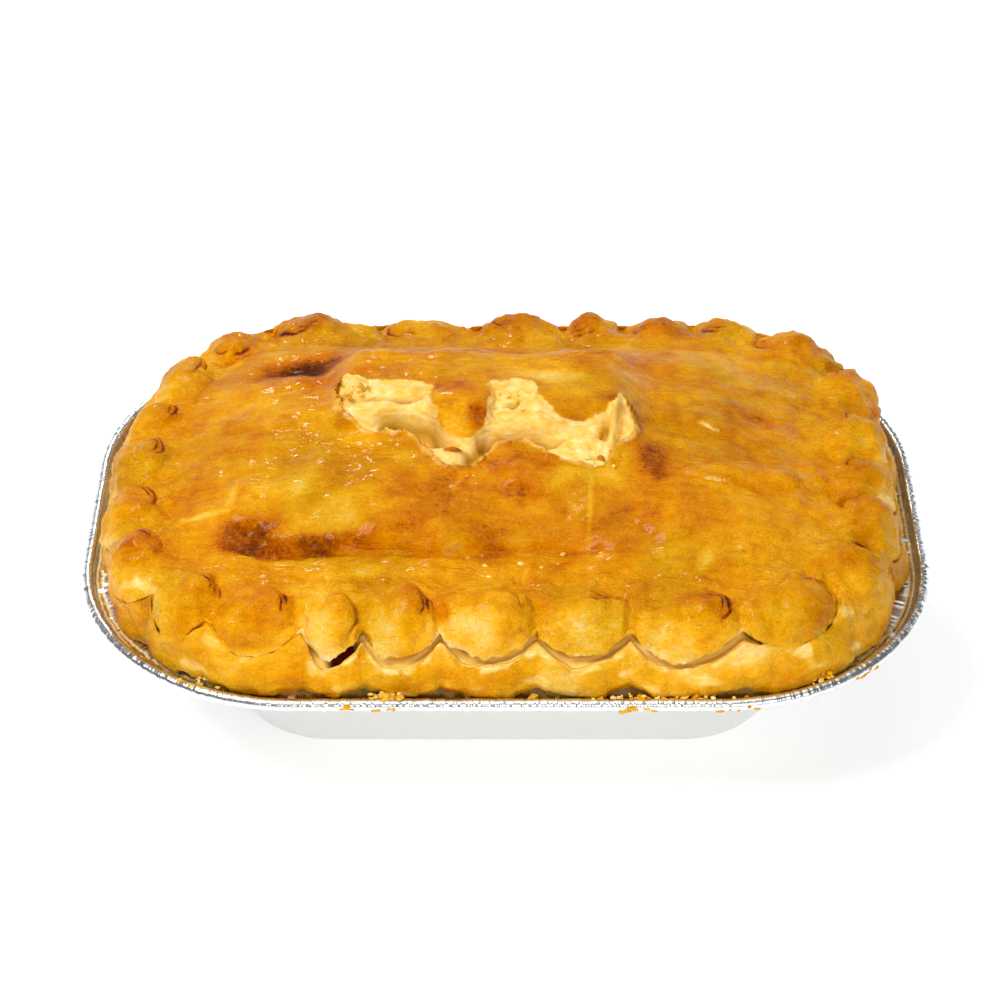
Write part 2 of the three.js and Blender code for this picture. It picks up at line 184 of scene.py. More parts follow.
def noise(p, size, seed=0):
    """Gradient noise from about -1 to 1.

    It has random slopes at a lattice of the given size, blended by 6t^5 - 15t^4 + 10t^3.
    """
    q = p / size
    cell = np.floor(q)
    f = q - cell
    cell = cell.astype(np.int64)
    w = f * f * f * (f * (f * 6 - 15) + 10)
    total = np.zeros(p.shape[:-1])
    for corner in range(8):
        step = np.array([corner & 1, (corner >> 1) & 1, corner >> 2])
        c = cell + step
        h = c[..., 0] * 374761393 + c[..., 1] * 668265263 + c[..., 2] * 1440662683 + seed * 974634777
        h = (h ^ (h >> 13)) & 0xFFFFFFFF
        h = (h * 1274126177) & 0xFFFFFFFF
        h = h ^ (h >> 16)
        slopes = np.stack([h & 1023, (h >> 10) & 1023, (h >> 20) & 1023], -1) / 511.5 - 1.0
        share = np.prod(np.where(step, w, 1 - w), axis=-1)
        total += share * np.sum(slopes * (f - step), axis=-1)
    return total * 1.3


def fbm(p, size, octaves, seed=0):
    """Noise summed over octaves, each half the size and half the height of the last."""
    return sum(noise(p, np.asarray(size) / 2**k, seed + 7 * k) / 2**k for k in range(octaves))


def spline(rings, t):
    """Catmull-Rom curve through the first axis of rings, at the parameters t."""
    i = np.minimum(np.floor(t).astype(int), len(rings) - 2)
    f = (t - i)[:, None, None]
    a, b, c, d = (rings[np.clip(i + k, 0, len(rings) - 1)] for k in (-1, 0, 1, 2))
    return 0.5 * (2 * b + (c - a) * f + (2 * a - 5 * b + 4 * c - d) * f**2 + (3 * b - a - 3 * c + d) * f**3)


def outward(points):
    """Unit normals of a grid of closed rings: the step round a ring crossed with the step to the next."""
    around = np.roll(points, -1, 1) - np.roll(points, 1, 1)
    across = np.gradient(points, axis=0)
    n = np.cross(around, across)
    return n / (np.linalg.norm(n, axis=-1, keepdims=True) + 1e-9)


# -------------------------------- meshes


def ring_mesh(name, first_pole, rings, last_pole, marks=(), downward=False):
    """A closed mesh through rings of points, capped by a pole at each end.

    A ring may have half as many points as the one before it. marks is a list of (name, list of arrays)
    with one value for each point of each ring, kept as point attributes. downward turns the faces of a
    piece whose rings run from its top to its bottom.
    """
    sizes = [len(r) for r in rings]
    starts = np.cumsum([1, *sizes])
    points = np.vstack([np.atleast_2d(first_pole), *rings, np.atleast_2d(last_pole)])
    quads, triangles = [], []
    for i, n in enumerate(sizes):
        j = np.arange(n)
        here = starts[i] + j
        ahead = starts[i] + (j + 1) % n
        if i == 0:
            triangles.append(np.stack([np.zeros_like(j), ahead, here], 1))
        if i + 1 == len(sizes):
            triangles.append(np.stack([np.full(n, len(points) - 1), here, ahead], 1))
            break
        m = sizes[i + 1]
        up = starts[i + 1] + np.arange(m)
        up_ahead = starts[i + 1] + (np.arange(m) + 1) % m
        if m == n:
            quads.append(np.stack([here, ahead, up_ahead, up], 1))
        else:
            left, middle, right = here[0::2], here[1::2], ahead[1::2]
            triangles.append(np.stack([left, middle, up], 1))
            triangles.append(np.stack([middle, right, up_ahead], 1))
            triangles.append(np.stack([middle, up_ahead, up], 1))
    faces = [np.vstack(kind) for kind in (quads, triangles) if kind]
    if downward:
        faces = [f[:, ::-1] for f in faces]
    mesh = bpy.data.meshes.new(name)
    mesh.vertices.add(len(points))
    mesh.vertices.foreach_set("co", (points * MM).astype(np.float32).ravel())
    lengths = np.concatenate([np.full(len(f), f.shape[1]) for f in faces])
    mesh.loops.add(int(lengths.sum()))
    mesh.loops.foreach_set("vertex_index", np.concatenate([f.ravel() for f in faces]).astype(np.int32))
    mesh.polygons.add(len(lengths))
    mesh.polygons.foreach_set("loop_start", (np.cumsum(lengths) - lengths).astype(np.int32))
    mesh.polygons.foreach_set("use_smooth", np.ones(len(lengths), bool))
    mesh.update(calc_edges=True)
    for mark, values in marks:
        flat = np.concatenate([[values[0].mean()], *values, [values[-1].mean()]])
        layer = mesh.attributes.new(mark, "FLOAT", "POINT")
        layer.data.foreach_set("value", flat.astype(np.float32))
    return add_piece(name, mesh)


def add_piece(name, mesh):
    """Links a new object for the mesh and carries it on the pie's body."""
    piece = bpy.data.objects.new(name, mesh)
    bpy.context.scene.collection.objects.link(piece)
    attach(piece, "root")
    return piece


# -------------------------------- the walk round the pie


def rect(inset):
    """Half length, half width and corner radius of the rounded rectangle that far inside the rim."""
    return RIM_LENGTH / 2 - inset, RIM_WIDTH / 2 - inset, np.maximum(RIM_CORNER - inset, 1.0)


def wall_rect(k, inset):
    """The tray's wall, from the flange at k = 0 to the base at k = 1, moved inward by inset."""
    top = rect(FLANGE_WIDTH)
    low = (BASE_LENGTH / 2, BASE_WIDTH / 2, BASE_CORNER)
    return tuple(mix(t, b, k) - inset for t, b in zip(top, low))


def runs():
    """Lengths of the nine straight and curved runs of the crest, from the middle of the front."""
    a, b, r = rect(CREST_INSET)
    corner = np.pi / 2 * r
    return np.array([a - r, corner, 2 * (b - r), corner, 2 * (a - r), corner, 2 * (b - r), corner, a - r])


TOTAL = runs().sum()


def stations(arc):
    """Where arc lengths along the crest lie: the corner centre they turn about and the way they face.

    Straight runs slide the corner centre from side to side and corners turn the facing, both in
    proportion to length.
    """
    lengths = runs()
    ends = np.cumsum(lengths)
    arc = np.mod(arc, TOTAL)
    run = np.minimum(np.searchsorted(ends, arc), 8)
    v = np.clip((arc - (ends - lengths)[run]) / lengths[run], 0, 1)
    tx = np.array([0, 1, 1, 1, 1, -1, -1, -1, -1, 0.0])
    ty = np.array([-1, -1, -1, 1, 1, 1, 1, -1, -1, -1.0])
    turn = np.array([-90, -90, 0, 0, 90, 90, 180, 180, 270, 270.0])
    angle = np.radians(mix(turn[run], turn[run + 1], v))
    return {
        "arc": arc,
        "tx": mix(tx[run], tx[run + 1], v),
        "ty": mix(ty[run], ty[run + 1], v),
        "nx": np.cos(angle),
        "ny": np.sin(angle),
    }


def walk(columns):
    """That many evenly spaced places along the crest: their arc lengths and their stations."""
    arc = np.arange(columns) * TOTAL / columns
    return arc, stations(arc)


def past(arc, at):
    """How far arc lengths lie past a place on the walk, the shorter way round."""
    return np.mod(arc - at + TOTAL / 2, TOTAL) - TOTAL / 2


def place(s, shape, z):
    """Points of a rounded rectangle at the stations: corner centre plus corner radius along the facing."""
    a, b, r = shape
    x = s["tx"] * (a - r) + s["nx"] * r
    y = s["ty"] * (b - r) + s["ny"] * r
    return np.stack([x, y, np.broadcast_to(z, x.shape)], -1)


def lobes(arc):
    """Each station's lobe, the share of the way across it and the lobe's width."""
    widths = LOBE_WIDTHS * TOTAL / LOBE_WIDTHS.sum()
    ends = np.cumsum(widths)
    along = np.mod(arc - FIRST_PINCH, TOTAL)
    lobe = np.minimum(np.searchsorted(ends, along, side="right"), len(widths) - 1)
    return lobe, (along - (ends - widths)[lobe]) / widths[lobe], widths[lobe]


def ahead(lobe):
    """Which way a lobe leans: 1 towards its far pinch, and -1 along the left side, where all lean back."""
    widths = LOBE_WIDTHS * TOTAL / LOBE_WIDTHS.sum()
    middle = FIRST_PINCH + np.cumsum(widths) - widths / 2
    return np.where(stations(middle)["nx"] < -0.6, -1.0, 1.0)[lobe]


def lobe_shape(arc, power=0.7):
    """How far a lobe stands out, how high its head is and how low its lip hangs: humps of drawn sizes."""
    lobe, q, _ = lobes(arc)
    lean = ahead(lobe)
    out = LOBE_BULGE * mix(0.8, 1.2, draw(lobe, 1)) * hump(q, 0.5) ** power
    head = HEAD_RISE * mix(0.6, 1.3, draw(lobe, 2)) - PINCH_RISE
    head = PINCH_RISE + head * hump(q, 0.5 + 0.14 * lean) ** (power + 0.2)
    drop = LIP_DROP * mix(0.8, 1.1, draw(lobe, 3)) * hump(q, 0.5 - 0.1 * lean)
    return out, head, drop


def crest_inset(s):
    """The crest's inset from the rim: off-centre along X, less at the back right and more at the left."""
    _, b, r = rect(CREST_INSET)
    back = s["ty"] * (b - r) + s["ny"] * r
    back_left = smooth(12, 45, back) * (1 - smooth(0.86, 1, s["ny"])) * smooth(0.2, 0.5, -s["nx"])
    back_right = smooth(30, 60, back) * (1 - smooth(0.8, 1, s["ny"])) * smooth(0.1, 0.4, s["nx"])
    left = smooth(0.8, 1, -s["nx"])
    across = 1.5 * s["nx"] ** 2 - LID_SHIFT * s["nx"]
    return CREST_INSET + across + 2.5 * left + 6 * back_left - 3 * back_right


def ledge_inset(s, out):
    """The lower pastry's outer edge: near the rim along the front and back, further in at the ends."""
    end = smooth(0.6, 0.95, np.abs(s["nx"]))
    return LEDGE_INSET + END_SETBACK * end - (LEDGE_BULGE + END_SCALLOP * end) * out / LOBE_BULGE


def lip_inset(s, out):
    """The lid's lower lip, outward of the crest and further out in the middle of a lobe."""
    return crest_inset(s) - LIP_REACH - 1.5 * smooth(0, 1, s["nx"]) - out


def edge_heights(s, head, drop):
    """Crest and lip above the rim's centre: highest at the front, raised and dropped by the lobes."""
    crest = RIDGE_HEIGHT - FRONT_RISE * s["ny"] + head
    lip = LIP_HEIGHT - 1.5 * s["ny"] - drop
    return crest, lip


def opening(s):
    """How far the front has come open: 1 between two marks along X, and 0 round the rest."""
    x = s["tx"] * (RIM_LENGTH / 2 - RIM_CORNER) + s["nx"] * (RIM_CORNER - CREST_INSET)
    from_left = smooth(OPEN_FROM - 6, OPEN_FROM + 4, x)
    return smooth(0.75, 0.9, -s["ny"]) * from_left * (1 - smooth(OPEN_TO - 4, OPEN_TO + 4, x))


def shut(s):
    """How far the two pastries are pressed into one skin: 1 at the front corners, beside the opening."""
    return smooth(0.1, 0.45, -s["ny"]) * (1 - opening(s))


def arches(arc):
    """Low arches in the lower pastry's foot: half ellipses over the pinches, each of a drawn height."""
    lobe, q, width = lobes(arc)
    side = np.minimum(q, 1 - q) * width
    pinch = np.where(q < 0.5, lobe, (lobe + 1) % len(LOBE_WIDTHS))
    ellipse = np.sqrt(np.clip(1 - (side / ARCH_HALF) ** 2, 0, 1))
    return ARCH_HEIGHT * mix(0.35, 1.0, draw(pinch, 4)) * ellipse


# -------------------------------- the crown


def crown_height(x, y, share):
    """Height of the lid inside its crimps, above the rim's centre.

    A band, plus a dome 1 - share^3.2 that starts behind the front crease, plus the shelf behind the vent,
    plus a slow roll, less the broad crease with the sharp fold that wanders along it, and the hollows,
    which are Gaussian.
    """
    first, last = CREASE_ENDS
    creased = smooth(first - 8, first + 14, x) * (1 - smooth(last - 35, last + 35, x))
    slope = np.clip(1 - (y - CREASE_Y + 1) / CREASE_SLOPE, 0, 1) ** 2.2
    held_down = np.where(y > CREASE_Y - 1, slope, 1.0)
    dome = CROWN_RISE * (1 - share**3.2) * (1 - creased * held_down)
    wander = CREASE_Y + 1.2 * np.sin(x / 9.0) + 0.6 * np.sin(x / 3.7)
    sharp = 1.5 * creased * (1 - 0.6 * smooth(-30, 20, x)) * np.exp(-(((y - wander) / 1.3) ** 2))
    broad = CREASE_DEPTH * creased * (1 - 0.7 * smooth(-20, 10, x)) * np.exp(-(((y - CREASE_Y) / 2.6) ** 2))
    (x0, x1), (y0, y1) = SHELF_X, SHELF_Y
    shelf = SHELF_RISE * smooth(x0 - 8, x0 + 8, x) * (1 - smooth(x1 - 6, x1 + 10, x))
    shelf = shelf * smooth(y0 - 5, y0 + 5, y) * (1 - smooth(y1 - 10, y1 + 10, y))
    roll = 1.4 * np.sin(x / 19 + 0.6) * np.sin(y / 15 + 1.1) * (1 - share**2)
    dents = sum(h[4] * np.exp(-(((x - h[0]) / h[2]) ** 2) - ((y - h[1]) / h[3]) ** 2) for h in HOLLOWS)
    return BAND_HEIGHT - 1.2 * smooth(20, 70, y) * share + dome + shelf + roll - sharp - broad - dents


def through(points, steps):
    """A smooth line through a few points, with that many steps between each two."""
    p = np.array(points, float)[:, None, :]
    return spline(p, np.linspace(0, len(p) - 1, steps * (len(p) - 1) + 1))[:, 0]


def near(line, x, y):
    """Distance from points to a broken line: the least distance to any of its straight steps."""
    p = np.stack([x, y], -1)[..., None, :]
    a, b = line[:-1], line[1:]
    along = np.clip(np.sum((p - a) * (b - a), -1) / np.sum((b - a) ** 2, -1), 0, 1)
    return np.min(np.linalg.norm(p - a - along[..., None] * (b - a), axis=-1), axis=-1)


def inside(loop, x, y):
    """True inside a closed loop: an odd number of its sides cross the line running right from the point."""
    a, b = loop, np.roll(loop, -1, 0)
    crosses = (a[:, 1] > y[..., None]) != (b[:, 1] > y[..., None])
    rise = np.where(np.abs(b[:, 1] - a[:, 1]) < 1e-9, 1e-9, b[:, 1] - a[:, 1])
    at = a[:, 0] + (y[..., None] - a[:, 1]) / rise * (b[:, 0] - a[:, 0])
    return np.sum(crosses & (x[..., None] < at), -1) % 2 == 1


def spot(x, y, cx, cy, rx, ry, turn=0.0, power=1):
    """A soft oval: exp of minus the squared distance in its own turned half widths.

    More power gives it a flat top.
    """
    c, s = math.cos(math.radians(turn)), math.sin(math.radians(turn))
    u = (x - cx) * c + (y - cy) * s
    v = (y - cy) * c - (x - cx) * s
    return np.exp(-(((u / rx) ** 2 + (v / ry) ** 2) ** power))


# x, y, half widths, turn in degrees, and how much browner (or with a minus paler) the glaze is there; some
# also paint shade or highlights, as marked
BROWNED = (
    (-67, 39, 17, 9, 4, 0.14),
    (-68, 43.5, 17, 7, 2, 0.46),
    (-84.5, -45, 9, 7, 8, 0.44),
    (-76, -44, 5, 6, 0, 0.12),
    # browner along the front crease, with the fold's shade painted in
    (-35, -43, 16, 3.0, 6, 0.1),
    (-33, -17, 9, 4, -20, -0.12),
    (30, -27, 12, 4, 0, -0.14),
    # this and the next: pale streaks on the left front slope, painted highlights
    (-62, -27, 10, 4, 14, -0.1),
    (-47, -33, 9, 3, 12, -0.12),
    # these four lie along the front crease: browning with the fold's shade painted in
    (-66, -49.5, 22, 2.8, 3, 0.34),
    (-8, -51, 42, 2.0, 0, 0.1),
    (-38, -47, 12, 3, 8, 0.08),
    (25, -50, 34, 3, 0, 0.08),
    (2, -37, 42, 11, 0, 0.15),
    (48, -17, 6, 13, 8, 0.24),
    (50, -24, 3, 4, 0, 0.18),
    (6, -20, 12, 7, 0, 0.13),
    (5, -32, 12, 2.6, 0, 0.12),
    (-18, 11, 7, 5, -10, 0.26),
    (-9, -1.5, 3.4, 4, -20, 0.24),
    (-17, -5, 6, 5, 0, -0.3),
    (14, 19, 15, 4, 0, -0.16),
    (23, 9, 9, 6, 0, -0.08),
    (-51, 25, 6, 5, 0, 0.12),
    (-41, 26, 9, 5, 0, 0.12),
    (33, 8, 6, 4, -20, 0.14),
    (25, -2, 4, 2, 0, 0.2),
    (89, 14, 16, 5, -8, 0.16),
    (5, 45, 45, 12, 0, 0.05),
    (-53, 2, 3.4, 5, 10, 0.3),
    (-17, -14.5, 4, 2.0, 0, 0.14),
    (41, -1, 2, 7, 10, 0.08),
    (62, -40, 9, 6, 30, 0.1),
    (-101, -37, 11, 1.4, 4, -0.3),
    (-89, -30, 1.4, 7, -12, -0.24),
    (-44, -62, 6, 3, 30, -0.26),
    (6, -64, 1.0, 5, -10, -0.2),
    (63, -60, 2.2, 6, -20, -0.26),
    (27, -39, 0.8, 12, -3, -0.26),
    (-15, -28, 1.4, 5, -25, -0.16),
    # pale on the left front shoulder: a painted highlight
    (-54, -41, 12, 6, 12, -0.26),
    (60, 30, 26, 6, -6, 0.12),
    (-30, 52, 40, 7, 0, 0.1),
    (-95, 10, 10, 20, 0, 0.06),
    (-48, -5, 14, 4, -10, -0.1),
    (14, 22, 12, 6, 0, -0.1),
    (28, -24, 10, 4, 0, -0.1),
)
# on the crimped edge: arc from the front middle, level, half width, half reach, browner, torn
EDGE_PATCHES = (
    (-114, 5.2, 7, 1.0, -0.16, 0.75),
    (-80, 3.5, 8, 0.5, -0.2, 0.8),
    (-106, 3.8, 6, 0.5, 0.14, 0.0),
    (91, 3.5, 9, 0.45, -0.2, 0.8),
    (-60, 3.7, 6, 0.5, -0.1, 0.6),
    (-46, 4.4, 5, 0.8, 0.05, 0.0),
    (16, 4.0, 7, 0.6, -0.08, 0.0),
    (-8, 6.4, 3, 0.6, 0.1, 0.0),
    (-22, 6.6, 3, 0.8, 0.12, 0.0),
    (126, 6.5, 8, 1.2, 0.14, 0.0),
    (143, 6.5, 8, 1.2, 0.12, 0.0),
    (158, 4.8, 9, 1.3, -0.26, 0.85),
    (29, 5.8, 10, 1.6, -0.26, 0.0),
    (-215, 6.0, 10, 1.5, -0.14, 0.0),
    (180, 4.6, 6, 0.9, -0.12, 0.7),
    (-138, 3.9, 8, 0.8, -0.12, 0.8),
    (-164, 4.0, 6, 0.8, -0.1, 0.7),
)
# the slit is painted dark: the gravy's red-brown with the hole's shade painted in
SLIT = (-51.0, 5.5)  # where what the pie holds is glimpsed through the opening: middle and half width
# x, y, half widths, turn and rise of the forms inside the vent, and how grey and damp the dough is there,
# which also paints the shade down in its pockets
DOUGH = (
    (-29, -2, 13, 4.6, -20, -7.5, 1.0),  # the deep pocket left of the tongue
    (-44, 5, 11, 4, 8, 3.4, 0.0),  # the flap in front of it
    (-37, 12, 10, 2.0, 0, -4.5, 0.8),
    (-58, 18, 4, 2.2, 0, -4.0, 1.0),
    (-48, 20, 2.4, 2, 0, -3.5, 0.9),
    (-27, 7, 5, 5, 0, 1.0, 0.0),
    (-20, -15, 8, 5, 0, 3.2, 0.0),  # the rag under the tongue
    (4, -6.4, 15, 2.6, 0, -5.4, 1.0),  # the groove of the arch
    (-9, -13, 3, 7, -35, -2.4, 0.7),
    (3, -2.0, 12, 1.3, 0, 2.6, 0.0),
    (2, 8, 7, 6, 0, 1.6, 0.0),  # the porous crumb
    (27, -10, 9, 7, 0, 3.0, 0.0),  # the rough block
    (22, 1, 7, 1.6, 10, -2.4, 0.6),
    (36, 0, 1.6, 9, -8, 4.4, 0.3),  # the thin fold
    (33, 1, 1.4, 8, -8, -3.0, 0.9),
    (12, 7, 1.2, 7, 0, -2.4, 0.7),
)


def noise_xy(x, y, size, seed=0):
    """Noise over the plan."""
    return noise(np.stack([x, y, np.full_like(x, 0.5)], -1), np.asarray(size, float), seed)


def vent(x, y):
    """Distances from points in plan to the torn vent's front lip and back edge, and what lies inside it.

    The plan is first shifted by two sizes of noise, which tears both edges.
    """
    wx = x + 1.4 * noise_xy(x, y, 5.0, 3) + 0.7 * noise_xy(x, y, 1.8, 4)
    wy = y + 1.6 * noise_xy(x, y, 4.4, 5) + 0.7 * noise_xy(x, y, 1.6, 6)
    front, back = through(VENT_LIP, 3), through(VENT_EDGE, 3)
    loop = np.vstack([front, back[::-1]])
    close = (np.abs(x + 8) < 66) & (np.abs(y) < 40)
    to_front, to_back = (np.full(x.shape, 30.0) for _ in range(2))
    within = np.zeros(x.shape, bool)
    to_front[close] = near(front, wx[close], wy[close])
    to_back[close] = near(back, wx[close], wy[close])
    within[close] = inside(loop, wx[close], wy[close])
    return to_front, to_back, within


def crown_surface(s, shares):
    """Points and marks of the crown: rings that shrink to the lid's centre, at the crown's height.

    Inside the vent the surface drops by the thickness of the skin and then sags, with the named forms of
    dough on it.
    """
    edge = place(s, rect(CROWN_INSET), 0.0)
    x = edge[:, 0] * shares[:, None] + LID_SHIFT
    y = edge[:, 1] * shares[:, None]
    z = crown_height(x, y, shares[:, None] * np.ones_like(x))
    to_front, to_back, within = vent(x, y)
    flat = np.stack([x, y, np.zeros_like(x)], -1)
    t = to_front / (to_front + to_back + 1e-6)
    step = np.where(within, np.minimum(smooth(0.0, 1.3, to_front), smooth(0.0, 2.2, to_back)), 0.0)
    strands = noise(flat @ turned(28).T, np.array([9.0, 1.2, 5.0]), 21)
    lumps = 0.9 * noise(flat, 8.0, 22) + 0.12 * noise(flat, 2.8, 23) + 1.5 * strands * smooth(-34, -46, x)
    upright = noise(flat @ turned(80).T, np.array([12.0, 1.3, 5.0]), 33)
    lumps = lumps + 0.5 * upright * spot(x, y, -28, 8, 8, 12, 0, 2)
    lumps = lumps * (1 - 0.7 * spot(x, y, -29, -2, 13, 5, -20, 2))
    lumps = lumps + 2.0 * noise(flat, 3.0, 24) * spot(x, y, 27, -10, 12, 9, 0, 2)
    pores = smooth(0.1, 0.35, noise(flat, 2.6, 25)) * spot(x, y, 2, 7, 7, 6, 0, 2)
    forms = sum(f[5] * spot(x, y, *f[:5], 2) for f in DOUGH)
    # deep: damp, greyer dough, with painted shade in the pockets and in the pores
    deep = sum(f[6] * spot(x, y, *f[:5], 2) for f in DOUGH) + 0.5 * pores
    deep = np.clip(deep + 0.35 * noise(flat, 6.0, 26), 0, 1) * step
    z = z + step * (-2.0 - 1.5 * 4 * t * (1 - t) + 1.15 * forms + lumps - 2.8 * pores)
    skin = 1 - step
    z = z + 0.7 * skin * np.exp(-((to_back / 3.0) ** 2))
    z = z + skin * (4.2 * spot(x, y, -15, 4, 9, 9, 0, 2) + 2.2 * spot(x, y, 5, -23, 11, 6.5))
    off_tongue = 1 - spot(x, y, -14, 4, 12, 12, 0, 2)
    z = z + skin * 0.9 * np.exp(-((np.minimum(to_front, 30) / 3.0) ** 2)) * off_tongue
    z = z + skin * 3.4 * spot(x, y, 41.5, -1, 2.6, 7, 8, 2)
    z = z + 1.2 * spot(x, y, -17.5, -14.5, 3.6, 2.0, 0, 2) + skin * 2.4 * spot(x, y, -77, -44, 7, 6, 10)
    edge_blur = mix(2.2, 0.9, t)
    fading = 0.5 * smooth(3.2, 0.0, to_front + 1.6 * noise(flat, 5.0, 30)) + 0.3 * smooth(1.2, 0.0, to_back)
    frayed = np.where(within, smooth(-0.3, 1.0, to_front / edge_blur) * smooth(-0.6, 0.8, to_back), fading)
    frayed = frayed * (1 - spot(x, y, -17.5, -14.5, 3.6, 1.7, 0, 2))
    for line, height in SCARPS:
        line = np.array(line, float)
        level = np.interp(x, line[:, 0], line[:, 1])
        level = level + 1.2 * noise_xy(x, y, 6.0, 27) + 0.5 * noise_xy(x, y, 2.0, 28)
        ends = smooth(line[0, 0] - 3, line[0, 0] + 6, x) * (1 - smooth(line[-1, 0] - 8, line[-1, 0] + 3, x))
        up = y - level
        z = z + 1.3 * height * ends * smooth(-0.5, 0.5, up) * np.exp(-np.maximum(up, 0) / 12)
        pale = smooth(-0.1, 0.4, noise_xy(x, y, 9.0, 29))
        frayed = np.maximum(frayed, 0.8 * ends * pale * np.exp(-(((up + 0.3) / 0.8) ** 2)))
    points = np.stack([x, y, RIM_LEVEL + z], -1)
    return points, frayed, step, deep


def turned(degrees):
    """A rotation about Z."""
    c, s = math.cos(math.radians(degrees)), math.sin(math.radians(degrees))
    return np.array([[c, s, 0], [-s, c, 0], [0, 0, 1.0]])


# -------------------------------- the lid


def lid_controls(s, arc):
    """Rings of the crimped edge, from under the lid, round the lip, up the face and over the crest."""
    rings = []

    def ring(slant, inset, height, power=0.7):
        out, head, drop = lobe_shape(arc + slant, power)
        crest, lip = edge_heights(s, head, drop)
        rings.append(place(s, rect(inset(out)), RIM_LEVEL + height(crest, lip)))

    ring(0, lambda out: CROWN_INSET + 8 + 0 * out, lambda c, l: JOINT_LEVEL + 0 * c)
    ring(0, lambda out: crest_inset(s) + 4, lambda c, l: JOINT_LEVEL + 1 + 0 * c)
    ring(0, lambda out: lip_inset(s, out) + CRACK_DEPTH, lambda c, l: mix(JOINT_LEVEL + 1, l, 0.7))
    ring(0, lambda out: lip_inset(s, out) + 1.4, lambda c, l: l)
    ring(0, lambda out: lip_inset(s, out) - 0.6, lambda c, l: l + 2)
    ring(0.6, lambda out: lip_inset(s, out) + 0.8, lambda c, l: mix(l, c, 0.55), 0.8)
    ring(1.2, lambda out: mix(lip_inset(s, out), crest_inset(s), 0.45), lambda c, l: c - 2, 1.0)
    ring(1.8, lambda out: crest_inset(s) - 0.3 * out, lambda c, l: c, 1.1)
    ring(2.4, lambda out: crest_inset(s) + 4, lambda c, l: mix(BAND_HEIGHT, c, 0.85), 1.2)
    ring(2.8, lambda out: crest_inset(s) + 8.5, lambda c, l: mix(BAND_HEIGHT, c, 0.4), 1.2)
    edge = place(s, rect(CROWN_INSET), 0.0)
    for share in (0.965, 0.93, 0.895):
        x, y = edge[:, 0] * share + LID_SHIFT, edge[:, 1] * share
        rings.append(np.stack([x, y, RIM_LEVEL + crown_height(x, y, share)], -1))
    return np.array(rings)


def lid_grid():
    """The whole lid as rows of rings, with its marks and the count of its edge rows.

    t counts the control rings: 3 is the lip, 7 the crest and 11 the edge of the crown.
    """
    arc, s = walk(LID_COLUMNS)
    rows = np.concatenate([[0, 1, 2, 2.5, 2.8], np.linspace(3.0, 11.0, 47)])
    edge = spline(lid_controls(s, arc), rows)
    shares = np.concatenate([np.linspace(0.93, 0.56, 32)[1:], np.linspace(0.56, 0.02, 72)[1:]])
    crown, *fields = crown_surface(s, shares)
    points = np.concatenate([edge, crown])
    t = np.concatenate([rows, 11.0 + np.arange(1, len(shares) + 1) * 0.1])[:, None] * np.ones(LID_COLUMNS)
    torn, cut, deep = (np.concatenate([np.zeros(edge.shape[:2]), f]) for f in fields)
    return s, arc, points, t, torn, cut, deep, len(rows)


def heads(arc, points, t):
    """The lobes' own forms at points of the lid.

    Gives the lobe, its width, the distance back from the pinch it leans to, a dome over its head (1 at
    the middle and 0 at its edge), and the creases pressed round it. They are three arcs about the head's
    middle: their depth in millimetres, a distance that passes through 0 on each arc alone, and how
    strongly the nearest shows.
    """
    lobe, q, width = lobes(arc)
    lean = ahead(lobe)
    back = np.where(lean > 0, 1 - q, q) * width
    along = (back - mix(0.3, 0.4, draw(lobe, 5)) * width) / (mix(0.28, 0.38, draw(lobe, 11)) * width)
    up = (t - mix(6.2, 6.9, draw(lobe, 6))) / mix(1.5, 2.0, draw(lobe, 13))
    radius = np.sqrt(along**2 + up**2) + 0.09 * noise(points, 4.0, 12) + 0.05 * noise(points, 1.6, 19)
    dome = np.clip(1 - radius**2, 0, 1) ** 0.8
    turn = np.arctan2(up, -along)
    depth = np.zeros_like(t)
    product, least, shows = np.ones_like(t), np.full_like(t, 9.0), np.zeros_like(t)
    for k, (ring, deep) in enumerate(((0.98, 1.8), (0.74, 1.2), (0.5, 1.0))):
        off = (radius - ring) * HEAD_SIZE
        middle, reach = mix(-0.2, 1.7, draw(lobe, 14 + k)), mix(0.45, 1.0, draw(lobe, 20 + k))
        there = np.exp(-(((turn - middle) / reach) ** 4)) * smooth(0.08, 0.3, draw(lobe, 24 + k))
        depth = depth + deep * there * np.exp(-((off / mix(0.7, 1.2, draw(lobe, 27 + k))) ** 2))
        shows = np.where(np.abs(off) < least, there, shows)
        least = np.minimum(least, np.abs(off))
        product = product * off / CREASE_SPACING
    return lobe, width, back, dome, depth, product * CREASE_SPACING, shows


